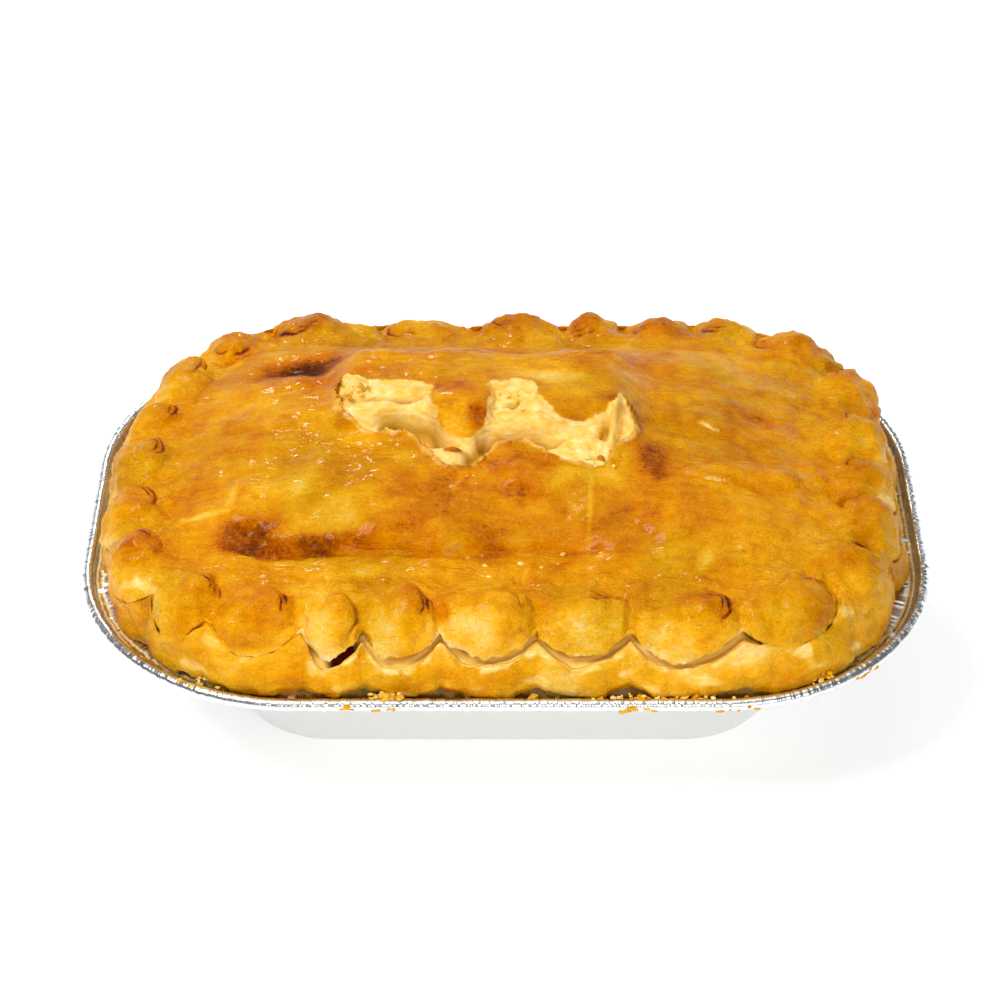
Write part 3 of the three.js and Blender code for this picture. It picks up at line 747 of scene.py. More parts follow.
def lid_relief(arc, points, t, cut, relief):
    """Small relief of the lid, outward in millimetres.

    Slow lumps, domed heads on the lobes with crescents pressed beside them, the glaze's fine wrinkles
    that run lengthways, and a frayed lip.
    """
    lobe, width, back, dome, depth, _, _ = heads(arc, points, t)
    on_edge = smooth(3.4, 4.6, t) * (1 - smooth(9.0, 11.0, t))
    inner = smooth(9.5, 11.5, t)
    lumps = 1.5 * noise(points, 17.0, 1) + 0.8 * noise(points, 8.0, 2) + 0.4 * noise(points, 3.4, 3)
    lumps = lumps + 1.4 * on_edge * noise(points, 10.0, 4) + (0.26 + 0.2 * on_edge) * noise(points, 1.9, 15)
    lumps = lumps + 0.8 * on_edge * noise(points, 4.6, 37)
    drift = np.stack([0 * t, 5.0 * noise(points, 30.0, 17), 0 * t], -1)
    warped = (points + drift) @ turned(6).T
    crumple = -1.1 * np.abs(noise(points, 7.0, 13)) + 0.7 * noise(points, 4.2, 11)
    ribs = 1.5 * noise(warped, np.array([46.0, 9.0, 30.0]), 18) * smooth(30, 60, points[..., 0]) * inner
    shape = np.array([13.0, 2.2, 9.0])
    wrinkled = smooth(-0.2, 0.4, noise(points, np.array([38.0, 22.0, 30.0]), 8))
    wrinkles = -0.8 * np.abs(noise(warped, shape, 9)) - 0.4 * np.abs(noise(warped, shape * 0.5, 10))
    wrinkles = wrinkles * wrinkled * inner
    side = np.minimum(back, width - back)
    pinch = -1.8 * np.exp(-((side / 1.5) ** 2)) * smooth(3.2, 4.0, t) * (1 - smooth(5.6, 7.6, t))
    fray = 1.6 * noise(points, 3.2, 14) + 1.0 * noise(points, 1.7, 20) + 1.8 * noise(points, 9.0, 36)
    fray = fray * np.exp(-(((t - 3.4) / 0.5) ** 2))
    heads_up = mix(0.9, 2.6, draw(lobe, 8)) * dome
    small = lumps + ribs + wrinkles + (heads_up - depth + crumple) * on_edge
    return relief * small * (1 - cut) + pinch + fray


def edge_spot(arc, t, at, level, half, reach):
    """A soft oval on the crimped edge, about a place along the walk and a level up it."""
    return np.exp(-((past(arc, at) / half) ** 2) - ((t - level) / reach) ** 2)


def bake_of(points, t, arc, s):
    """How brown the glaze is, from 0 pale to 1 scorched.

    A middle value, more on the heads of the lobes and at the named spots, with painted shade in the
    crescents round the heads, less on the faces below, most of all beside the heads. Some named spots paint
    the shade of the front crease, and a few pale ones paint highlights.
    """
    x, y = points[..., 0], points[..., 1]
    lobe, width, back, dome, _, nearest, shows = heads(arc, points, t)
    crease_shade = shows * np.exp(-((nearest / 1.6) ** 2))
    bake = 0.46 + 0.2 * fbm(points, 24.0, 3, 31) + 0.07 * noise(points, 5.0, 32)
    on_edge = smooth(3.0, 4.4, t) * (1 - smooth(9.0, 11.0, t))
    front = smooth(0.0, 0.7, -s["ny"]) * mix(0.1, 1.0, opening(s))
    bake = bake + on_edge * (mix(0.0, 0.16, draw(lobe, 4)) * dome + 0.09 * crease_shade)
    face = smooth(3.0, 3.6, t) * (1 - smooth(5.4, 7.2, t))
    beside = smooth(0.34, 0.55, back / width) * (1 - smooth(0.8, 1.0, back / width))
    bake = bake - face * (1 - 0.7 * np.clip(crease_shade, 0, 1)) * (0.05 + front * (0.04 + 0.15 * beside))
    bake = bake - 0.12 * np.exp(-(((t - 3.7) / 0.5) ** 2))
    inner = smooth(9.0, 10.5, t)
    for cx, cy, rx, ry, turn, amount in BROWNED:
        bake = bake + amount * spot(x, y, cx, cy, rx, ry, turn, 1.5) * inner
    for at, level, half, reach, amount, _ in EDGE_PATCHES:
        bake = bake + amount * edge_spot(arc, t, at, level, half, reach)
    return bake, nearest, shows * on_edge


# -------------------------------- colours and materials

# the kinds of nodes that the materials are made of
NOISE = "ShaderNodeTexNoise"
RANGE = "ShaderNodeMapRange"
MATH = "ShaderNodeMath"
MIX = "ShaderNodeMix"
BUMP = "ShaderNodeBump"
RAMP = "ShaderNodeValToRGB"
MARK = "ShaderNodeAttribute"
SURFACE = "ShaderNodeBsdfPrincipled"
OUTPUT = "ShaderNodeOutputMaterial"
PLACE = "ShaderNodeTexCoord"
STRETCH = "ShaderNodeMapping"


def colour(code):
    """An sRGB hex colour turned to the linear RGBA that shaders take."""
    channels = [int(code[i : i + 2], 16) / 255 for i in (1, 3, 5)]
    return (*[c / 12.92 if c <= 0.04045 else ((c + 0.055) / 1.055) ** 2.4 for c in channels], 1.0)


def node(tree, kind, settings=None, links=None):
    """Adds a node, sets its properties and plain inputs, and links its inputs.

    A link comes from a socket, or from the first output of a node.
    """
    made = tree.nodes.new(kind)
    for key, value in (settings or {}).items():
        if isinstance(key, str) and hasattr(made, key):
            setattr(made, key, value)
        else:
            made.inputs[key].default_value = value
    for key, source in (links or {}).items():
        tree.links.new(source.outputs[0] if hasattr(source, "outputs") else source, made.inputs[key])
    return made


def new_material(name):
    """An empty node material."""
    material = bpy.data.materials.new(name)
    material.use_nodes = True
    material.node_tree.nodes.clear()
    return material, material.node_tree


def per_mm(size):
    """The scale of a noise whose features are about that many millimetres, on coordinates in metres."""
    return 1.0 / (size * MM)


CRUST_STOPS = (  # egg-washed skin from barely coloured to scorched
    (0.0, "#fad794"),
    (0.14, "#fbc650"),
    (0.28, "#f8b11a"),
    (0.42, "#e89c05"),
    (0.54, "#dd8802"),
    (0.66, "#cf7002"),
    (0.8, "#a04c04"),
    (1.0, "#541f06"),
)
# dough down in the openings: damp dough darkened with painted shade, darkest half way down, and light again
# at the bottom with painted light against the shade in the crack
DAMP_SHADE_AND_LIGHT_STOPS = ((0.0, "#dfb03c"), (0.6, "#c4972e"), (0.85, "#ecbb4a"), (1.0, "#ffd770"))
# the layers of torn dough, from the gaps between them to their pale edges
DOUGH_STOPS = ((0.0, "#e8ab2a"), (0.35, "#f5c350"), (0.65, "#fbd67c"), (1.0, "#ffeab8"))
# bare foil up to 0.15, then browner the more juice and egg has baked on; on the front flange its warm tint
# also paints the light the pastry throws on it
FOIL_STOPS = ((0.0, "#e4e6e5"), (0.15, "#e4e6e5"), (0.45, "#ffdf98"), (0.8, "#b08838"), (1.0, "#7d5a12"))


def coloured(ramp, stops):
    """Gives a colour ramp its (place, hex) stops, the first at 0 and the last at 1."""
    band = ramp.color_ramp
    band.elements[0].color, band.elements[1].color = colour(stops[0][1]), colour(stops[-1][1])
    for at, code in stops[1:-1]:
        band.elements.new(at).color = colour(code)
    return ramp


def glazed_pastry(look):
    """Puff pastry under baked egg wash.

    The eye sees a glossy amber skin, and matt, pale, layered dough where it is torn.
    """
    material, tree = new_material("egg_washed_puff_pastry")
    where = node(tree, PLACE).outputs["Object"]
    bake, torn, deep, crease, creased = (
        node(tree, MARK, {"attribute_name": mark}).outputs["Fac"]
        for mark in ("bake", "torn", "deep", "crease", "creased")
    )
    patches = node(tree, NOISE, {"Scale": per_mm(8), "Detail": 5.0, "Roughness": 0.7}, {"Vector": where})
    # bubbles in the wash, in truth finer than this and drawn this coarse so that they show
    specks = node(tree, NOISE, {"Scale": per_mm(0.9), "Detail": 3.0, "Roughness": 0.7}, {"Vector": where})
    lengthways = node(tree, STRETCH, {"Scale": (0.22, 1.0, 0.6)}, {"Vector": where})
    finer = {"Scale": per_mm(2.2), "Detail": 3.0, "Roughness": 0.6}
    streaks = node(tree, NOISE, finer, {"Vector": lengthways})
    # how brown each place is: the mark, with patches, streaks and specks a little above and below it
    level = bake
    for source, share in ((patches, 0.55), (streaks, 0.24), (specks, 0.42)):
        centred = node(tree, MATH, {"operation": "SUBTRACT", 1: 0.5}, {0: source})
        level = node(tree, MATH, {"operation": "MULTIPLY_ADD", 1: share}, {0: centred, 2: level})
    # blisters, which count only where the skin is browned already
    rougher = {"Scale": per_mm(1.7), "Detail": 4.0, "Roughness": 0.75}
    blisters = node(tree, NOISE, rougher, {"Vector": where})
    centred = node(tree, MATH, {"operation": "SUBTRACT", 1: 0.5}, {0: blisters})
    strength = node(tree, RANGE, {"From Min": 0.56, "From Max": 0.86, "To Max": 0.6}, {"Value": level})
    level = node(tree, MATH, {"operation": "MULTIPLY_ADD"}, {0: centred, 1: strength, 2: level})
    # painted shade: a dark line along each crease round the heads, drawn about a millimetre wide so that it
    # shows
    off = node(tree, MATH, {"operation": "ABSOLUTE"}, {0: crease})
    falling = {"From Min": 0.1, "From Max": 0.75, "To Min": 0.38, "To Max": 0.0}
    line = node(tree, RANGE, falling, {"Value": off})
    level = node(tree, MATH, {"operation": "MULTIPLY_ADD"}, {0: line, 1: creased, 2: level})
    crust = coloured(node(tree, RAMP, links={"Fac": level}), CRUST_STOPS)
    # where more yolk lies the wash is greener
    yolk = node(tree, NOISE, {"Scale": per_mm(34), "Detail": 3.0}, {"Vector": where})
    yolk = node(tree, RANGE, {"From Min": 0.42, "From Max": 0.66, "To Max": 0.8}, {"Value": yolk})
    greener = {"data_type": "RGBA", "blend_type": "MULTIPLY", 7: colour("#e2ecc4")}
    washed = node(tree, MIX, greener, {0: yolk, 6: crust})
    # the torn dough: layers that lie flat, and damp places down in the openings, with painted shade in the
    # pockets and painted light at the bottom of the crack
    upright = node(tree, STRETCH, {"Scale": (1.0, 1.0, 3.2)}, {"Vector": where})
    layers = node(tree, NOISE, {"Scale": per_mm(4.2), "Detail": 4.0, "Roughness": 0.6}, {"Vector": upright})
    layered = node(tree, RANGE, {"From Min": 0.18, "From Max": 0.74}, {"Value": layers})
    dough = coloured(node(tree, RAMP, links={"Fac": layered}), DOUGH_STOPS)
    hollow_shade_and_light = coloured(node(tree, RAMP, links={"Fac": deep}), DAMP_SHADE_AND_LIGHT_STOPS)
    share = node(tree, RANGE, {"From Min": 0.1, "From Max": 0.55}, {"Value": deep})
    inner_dough = node(tree, MIX, {"data_type": "RGBA"}, {0: share, 6: dough, 7: hollow_shade_and_light})
    # deeper still, in the slit at the front, what the pie holds is glimpsed: the gravy's dark red-brown,
    # with the hole's shade painted in
    gravy_and_shade = node(tree, RANGE, {"From Min": 1.25, "From Max": 1.7}, {"Value": deep})
    inner_dough = node(tree, MIX, {"data_type": "RGBA", 7: colour("#5a1405")}, {0: gravy_and_shade, 6: inner_dough.outputs[2]})
    # the skin breaks off in specks along a tear
    ragged = node(tree, MATH, {"operation": "SUBTRACT", 1: 0.5}, {0: specks})
    ragged = node(tree, MATH, {"operation": "MULTIPLY_ADD", 1: 0.7}, {0: ragged, 2: torn})
    edge = node(tree, RANGE, {"From Min": 0.26, "From Max": 0.72}, {"Value": ragged})
    skin = node(tree, MIX, {"data_type": "RGBA"}, {0: edge, 6: washed.outputs[2], 7: inner_dough.outputs[2]})
    matt = node(tree, RANGE, {"From Min": 0.3, "From Max": 0.7}, {"Value": streaks})
    matt.inputs["To Min"].default_value = look.glaze_roughness - 0.08
    matt.inputs["To Max"].default_value = look.glaze_roughness + 0.1
    rough = node(tree, MATH, {"operation": "MULTIPLY_ADD", 1: 0.4}, {0: edge, 2: matt})
    gloss = node(tree, RANGE, {"To Min": look.glaze_coat, "To Max": 0.0}, {"Value": edge})
    skinned = node(tree, RANGE, {"To Min": 0.9, "To Max": 0.3}, {"Value": edge})
    fine = node(tree, BUMP, {"Distance": 0.8 * MM}, {"Height": specks, "Strength": skinned})
    over = {"Height": streaks, "Normal": fine, "Strength": skinned}
    along = node(tree, BUMP, {"Distance": 1.4 * MM}, over)
    flaky = node(tree, MATH, {"operation": "SUBTRACT", "use_clamp": True}, {0: edge, 1: deep})
    flaky = node(tree, MATH, {"operation": "MULTIPLY_ADD", 1: 0.4, 2: 0.1}, {0: flaky})
    grain = node(tree, BUMP, {"Distance": 0.9 * MM}, {"Height": layers, "Normal": along, "Strength": flaky})
    shader = node(
        tree,
        SURFACE,
        {
            "IOR": 1.36,
            "Specular IOR Level": 0.16,
            "Coat Roughness": 0.08,
            "Specular Tint": colour("#ffb838"),
            "Subsurface Weight": 0.08,
            "Subsurface Scale": 1.6 * MM,
            "Subsurface Radius": (1.0, 0.5, 0.1),
        },
        {"Base Color": skin.outputs[2], "Roughness": rough, "Coat Weight": gloss, "Normal": grain},
    )
    node(tree, OUTPUT, links={"Surface": shader})
    return material


def pastry(look):
    """The pastry's material, made when it is first asked for."""
    return bpy.data.materials.get("egg_washed_puff_pastry") or glazed_pastry(look)


def rolled_foil(look):
    """Bright aluminium foil, pressed and crumpled.

    The eye sees soft reflections broken by fine creases, and brown where juices have baked on, with the
    pastry's warm bounce light painted onto the front flange.
    """
    material, tree = new_material("pressed_aluminium_foil")
    where = node(tree, PLACE).outputs["Object"]
    stain_and_bounce_light, around, pressed = (
        node(tree, MARK, {"attribute_name": mark}).outputs["Fac"]
        for mark in ("stain_and_bounce_light", "around", "pressed")
    )
    crumple = node(tree, NOISE, {"Scale": per_mm(22), "Detail": 3.0, "Roughness": 0.45}, {"Vector": where})
    # the fine pressing across the rim, in truth finer than this and drawn this coarse so that it shows
    pressing = {"noise_dimensions": "1D", "Scale": per_mm(1.3), "Detail": 2.0}
    ticks = node(tree, NOISE, pressing, {"W": around})
    film = node(tree, NOISE, {"Scale": per_mm(3), "Detail": 4.0, "Roughness": 0.7}, {"Vector": where})
    uneven = node(tree, MATH, {"operation": "SUBTRACT", 1: 0.5}, {0: film})
    uneven = node(tree, MATH, {"operation": "MULTIPLY_ADD", 1: 0.9}, {0: uneven, 2: stain_and_bounce_light})
    level = node(tree, RANGE, {"From Min": 0.35, "From Max": 1.35}, {"Value": uneven})
    tint = coloured(node(tree, RAMP, links={"Fac": level}), FOIL_STOPS)
    rough = node(tree, RANGE, {"From Min": 0.3, "From Max": 0.7}, {"Value": film})
    rough.inputs["To Min"].default_value = look.foil_roughness
    rough.inputs["To Max"].default_value = look.foil_roughness + 0.1
    rough = node(tree, MATH, {"operation": "MULTIPLY_ADD", 1: -0.08}, {0: pressed, 2: rough})
    metal = node(tree, RANGE, {"From Max": 0.4, "To Min": 1.0, "To Max": 0.1}, {"Value": level})
    deepened = node(tree, MATH, {"operation": "MULTIPLY", 1: 0.45}, {0: pressed})
    first = node(tree, BUMP, {"Distance": 0.8 * MM}, {"Height": ticks, "Strength": deepened})
    bump = node(tree, BUMP, {"Strength": 0.35, "Distance": 0.8 * MM}, {"Height": crumple, "Normal": first})
    shader = node(
        tree,
        SURFACE,
        links={"Base Color": tint, "Roughness": rough, "Metallic": metal, "Normal": bump},
    )
    node(tree, OUTPUT, links={"Surface": shader})
    return material


def plain_floor(look):
    """Backlit opal acrylic.

    The eye sees a matt white sheet that glows a little, so that shadows on it stay pale.
    """
    material, tree = new_material("backlit_opal_acrylic")
    where = node(tree, PLACE).outputs["Object"]
    # the sheet's satin, in truth far finer than this
    satin = node(tree, NOISE, {"Scale": per_mm(3), "Detail": 2.0}, {"Vector": where})
    bump = node(tree, BUMP, {"Strength": 0.05, "Distance": 0.2 * MM}, {"Height": satin})
    shader = node(
        tree,
        SURFACE,
        {
            "Base Color": (*look.floor_colour, 1.0),
            "Roughness": 0.8,
            "Emission Color": (1.0, 1.0, 1.0, 1.0),
            "Emission Strength": look.floor_glow,
        },
        {"Normal": bump},
    )
    node(tree, OUTPUT, links={"Surface": shader})
    return material


# -------------------------------- settings


class PieLook(bpy.types.PropertyGroup):
    """What a user may change about how the pie looks."""

    relief: bpy.props.FloatProperty(
        name="Relief",
        description="Depth of the pastry's small lumps, wrinkles and pressed arcs",
        default=1.0,
        min=0.0,
        max=2.0,
    )
    glaze_roughness: bpy.props.FloatProperty(
        name="Glaze roughness",
        description="Roughness of the baked egg wash",
        default=0.36,
        min=0.0,
        max=1.0,
        subtype="FACTOR",
    )
    glaze_coat: bpy.props.FloatProperty(
        name="Glaze coat",
        description="Clear gloss over the browned skin",
        default=0.1,
        min=0.0,
        max=1.0,
        subtype="FACTOR",
    )
    foil_roughness: bpy.props.FloatProperty(
        name="Foil roughness",
        description="Roughness of the foil between its creases",
        default=0.32,
        min=0.0,
        max=1.0,
        subtype="FACTOR",
    )
    floor_colour: bpy.props.FloatVectorProperty(
        name="Floor",
        description="Colour of the backdrop",
        default=(0.9, 0.9, 0.9),
        size=3,
        min=0.0,
        max=1.0,
        subtype="COLOR",
    )
    floor_glow: bpy.props.FloatProperty(
        name="Floor glow",
        description="How strongly the backdrop is lit from behind",
        default=0.4,
        min=0.0,
        max=2.0,
    )


class PieStage(bpy.types.PropertyGroup):
    """Where the camera stands and how bright the studio is."""

    elevation: bpy.props.FloatProperty(
        name="Camera elevation",
        description="Angle of the camera above the table",
        default=math.radians(37.03),
        subtype="ANGLE",
    )
    distance: bpy.props.FloatProperty(
        name="Camera distance",
        description="From the camera to the middle of the rim",
        default=1.0239,
        unit="LENGTH",
    )
    lens: bpy.props.FloatProperty(
        name="Lens",
        description="Focal length in millimetres on a 36 mm sensor",
        default=108.25,
    )
    key: bpy.props.FloatProperty(
        name="Key light",
        description="Power of the light above the front left",
        default=9.4,
        unit="POWER",
    )
    fill: bpy.props.FloatProperty(
        name="Fill light",
        description="Power of the low front light",
        default=5.4,
        unit="POWER",
    )
    overhead: bpy.props.FloatProperty(
        name="Overhead light",
        description="Power of the wide light overhead",
        default=4.7,
        unit="POWER",
    )
    cards: bpy.props.FloatProperty(
        name="Cards",
        description="Power of the left card behind the pie; the right one is brighter",
        default=2.2,
        unit="POWER",
    )
    glint: bpy.props.FloatProperty(
        name="Glint lamp",
        description="Power of the small lamp behind",
        default=2.4,
        unit="POWER",
    )
    air: bpy.props.FloatProperty(
        name="Surroundings",
        description="Brightness of the white room",
        default=0.12,
    )


# -------------------------------- operators


class PIE_OT_lid(bpy.types.Operator):
    """Makes the crimped, glazed lid with its torn vent"""

    bl_idname = "pie.lid"
    bl_label = "Pastry lid"

    def execute(self, context):
        look = context.scene.pie_look
        s, arc, points, t, torn, cut, deep, first_crown = lid_grid()
        out = lid_relief(arc, points, t, cut, look.relief)
        lively = smooth(2.8, 3.4, t)
        points = points + outward(points) * (out * lively)[..., None]
        points[..., 2] -= 0.6 * np.maximum(points[..., 2] - HIGHEST, 0)
        bake, crease, shows = bake_of(points, t, arc, s)
        open_here = opening(s) * np.ones_like(t)
        lip = np.exp(-(((t - 3.35) / 0.55) ** 2)) * smooth(-0.2, 0.4, noise(points, 7.0, 16))
        torn = np.maximum(torn, np.maximum(1 - smooth(2.9, 3.1, t), 0.75 * lip) * open_here)
        # under the lip in the opening the dough takes the light end of its ramp: painted light against the
        # shade in the crack; at the slit the mark passes 1, to the gravy's dark with the hole's painted
        # shade
        deep = np.maximum(deep, (1 - smooth(2.7, 3.0, t)) * open_here)
        deep = deep * (1 + edge_spot(arc, t, SLIT[0], 2.0, SLIT[1], 2.0) * (t < 3.1))
        for at, level, half, reach, _, bare in EDGE_PATCHES:
            fringe = bare * edge_spot(arc, t, at, level, half, reach)
            torn = np.maximum(torn, fringe * smooth(-0.5, 0.3, noise(points, 4.0, 34)))
        step = [1] * first_crown + [2] * (len(points) - first_crown)
        rings = [row[::k] for row, k in zip(points, step)]
        fields = (("bake", bake), ("torn", torn), ("deep", deep), ("crease", crease), ("creased", shows))
        marks = [(name, [row[::k] for row, k in zip(field, step)]) for name, field in fields]
        bottom = [0, 0, RIM_LEVEL + JOINT_LEVEL]
        top = [LID_SHIFT, 0, points[-1, :, 2].mean()]
        lid = ring_mesh("glazed_lid", bottom, rings, top, marks)
        lid.data.materials.append(pastry(look))
        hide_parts("pastry_lid")
        return {"FINISHED"}


class PIE_OT_base(bpy.types.Operator):
    """Makes the lower pastry, whose scalloped edge shows under the lid"""

    bl_idname = "pie.base"
    bl_label = "Lower pastry"

    def execute(self, context):
        look = context.scene.pie_look
        arc, s = walk(BASE_COLUMNS)
        lobe, q, width = lobes(arc)
        out, head, drop = lobe_shape(arc)
        _, lip = edge_heights(s, head, drop)
        open_here = opening(s)
        closed = shut(s)
        ledge = ledge_inset(s, out)
        lying = -FLANGE_DROP + GAP
        lifted = lying + 0.3 + arches(arc) * (1 - 0.5 * closed)
        peak = (1 - hump(q, 0.5)) ** 2
        ragged = 1.8 * noise_xy(arc, 0 * arc, 6.1, 40) + 1.1 * noise_xy(arc, 0 * arc, 1.8, 41)
        ledge_top = lip - mix(1.2, 3.0 - 1.4 * peak, open_here) + 2.8 * closed
        ledge_top = ledge_top + ragged * mix(0.5, 1.0, open_here)
        top_inset = np.minimum(ledge + 2 + 2 * peak, lip_inset(s, out) + 0.4)
        seam = mix(mix(JOINT_LEVEL + 1, lip, 0.7) - GAP - UNDER_LID, lip - 2.0, open_here)
        deep_in = mix(CRACK_DEPTH, OPENING_DEPTH, open_here)
        snug = FOIL + GAP
        # ring 2 is the seam, 4 the top of the ledge, 6 its foot and 8 where the flange ends
        controls = np.array([
            place(s, rect(CROWN_INSET + 8), RIM_LEVEL + JOINT_LEVEL - GAP - UNDER_LID),
            place(s, rect(crest_inset(s) + 4), RIM_LEVEL + JOINT_LEVEL + 1 - GAP - UNDER_LID),
            place(s, rect(lip_inset(s, out) + deep_in), RIM_LEVEL + seam),
            place(s, rect(lip_inset(s, out) + 1.4), RIM_LEVEL + lip - mix(0.7, CRACK, open_here)),
            place(s, rect(mix(top_inset, lip_inset(s, out) - 0.9, closed)), RIM_LEVEL + ledge_top),
            place(s, rect(ledge), RIM_LEVEL + mix(lifted, ledge_top, 0.45)),
            place(s, rect(ledge + 0.6), RIM_LEVEL + lifted + 0.5),
            place(s, rect(ledge + 4.5), RIM_LEVEL + mix(lying, lifted, 0.2)),
            place(s, rect(FLANGE_WIDTH + 1), RIM_LEVEL + lying),
            place(s, wall_rect(0.09, snug + 1.1), WALL_TOP - 4),
            place(s, wall_rect(0.45, snug + 0.4), WALL_TOP * 0.55),
            place(s, wall_rect(0.9, snug + 0.7), 5 + snug),
            place(s, wall_rect(1.0, 6.0), snug),
        ])
        rows = np.concatenate([[0, 1], np.linspace(2, 7, 46), np.linspace(7.5, 12, 8)])
        points = spline(controls, rows)
        t = rows[:, None] * np.ones(BASE_COLUMNS)
        showing = smooth(2.2, 3.2, t) * (1 - smooth(6.6, 7.2, t))
        relief = 1.4 * noise(points, 12.0, 50) + 0.8 * noise(points, 5.0, 51)
        relief = relief + 0.35 * noise(points, 2.4, 52)
        side = np.minimum(q, 1 - q) * width
        relief = relief - 0.8 * np.exp(-((side / 1.6) ** 2)) * smooth(4, 4.5, t)
        smoothing = 1 - 0.7 * (1 - smooth(3.4, 3.9, t)) * open_here
        points = points - outward(points) * (look.relief * relief * showing * smoothing)[..., None]
        bake = 0.27 + 0.18 * fbm(points, 15.0, 3, 53) + 0.12 * (draw(lobe, 20) - 0.5)
        bake = bake + 0.08 * (1 - smooth(0.3, 0.8, -s["ny"])) + 0.06 * closed
        foot = np.exp(-(((t - 6.0) / 0.3) ** 2))
        bake = bake + 0.26 * foot * smooth(-0.1, 0.5, noise(points, 9.0, 54))
        # a browner band on the face, and lighter under the foot in the arches: painted light against the
        # shade under the overhang
        bake = bake + 0.08 * np.exp(-(((t - 5.0) / 0.5) ** 2)) - 0.2 * smooth(6.2, 6.7, t)
        crest = np.exp(-(((t - 4.08) / 0.25) ** 2)) * smooth(-0.3, 0.3, noise(points, 6.0, 56))
        torn = np.maximum(1 - smooth(3.75, 4.0, t), 0.8 * crest) * mix(0.15, 1.0, open_here)
        pale = smooth(0.15, 0.5, noise(points, np.array([10.0, 10.0, 5.0]), 55)) * (1 - smooth(5.4, 6.0, t))
        torn = np.maximum(torn, 0.6 * pale)
        # in the opening the dough takes the light end of its ramp: painted light against the shade in the
        # crack; at the slit the mark passes 1, to the gravy's dark with the hole's painted shade
        deep = (1 - smooth(3.5, 3.9, t)) * open_here
        deep = deep * (1 + np.exp(-(((arc - TOTAL - SLIT[0]) / SLIT[1]) ** 2)))
        marks = [("bake", list(bake)), ("torn", list(torn)), ("deep", list(deep))]
        top = [0, 0, RIM_LEVEL + JOINT_LEVEL - GAP - UNDER_LID]
        base = ring_mesh("lower_pastry", top, list(points), [0, 0, snug], marks, downward=True)
        base.data.materials.append(pastry(look))
        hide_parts("pastry_base")
        return {"FINISHED"}


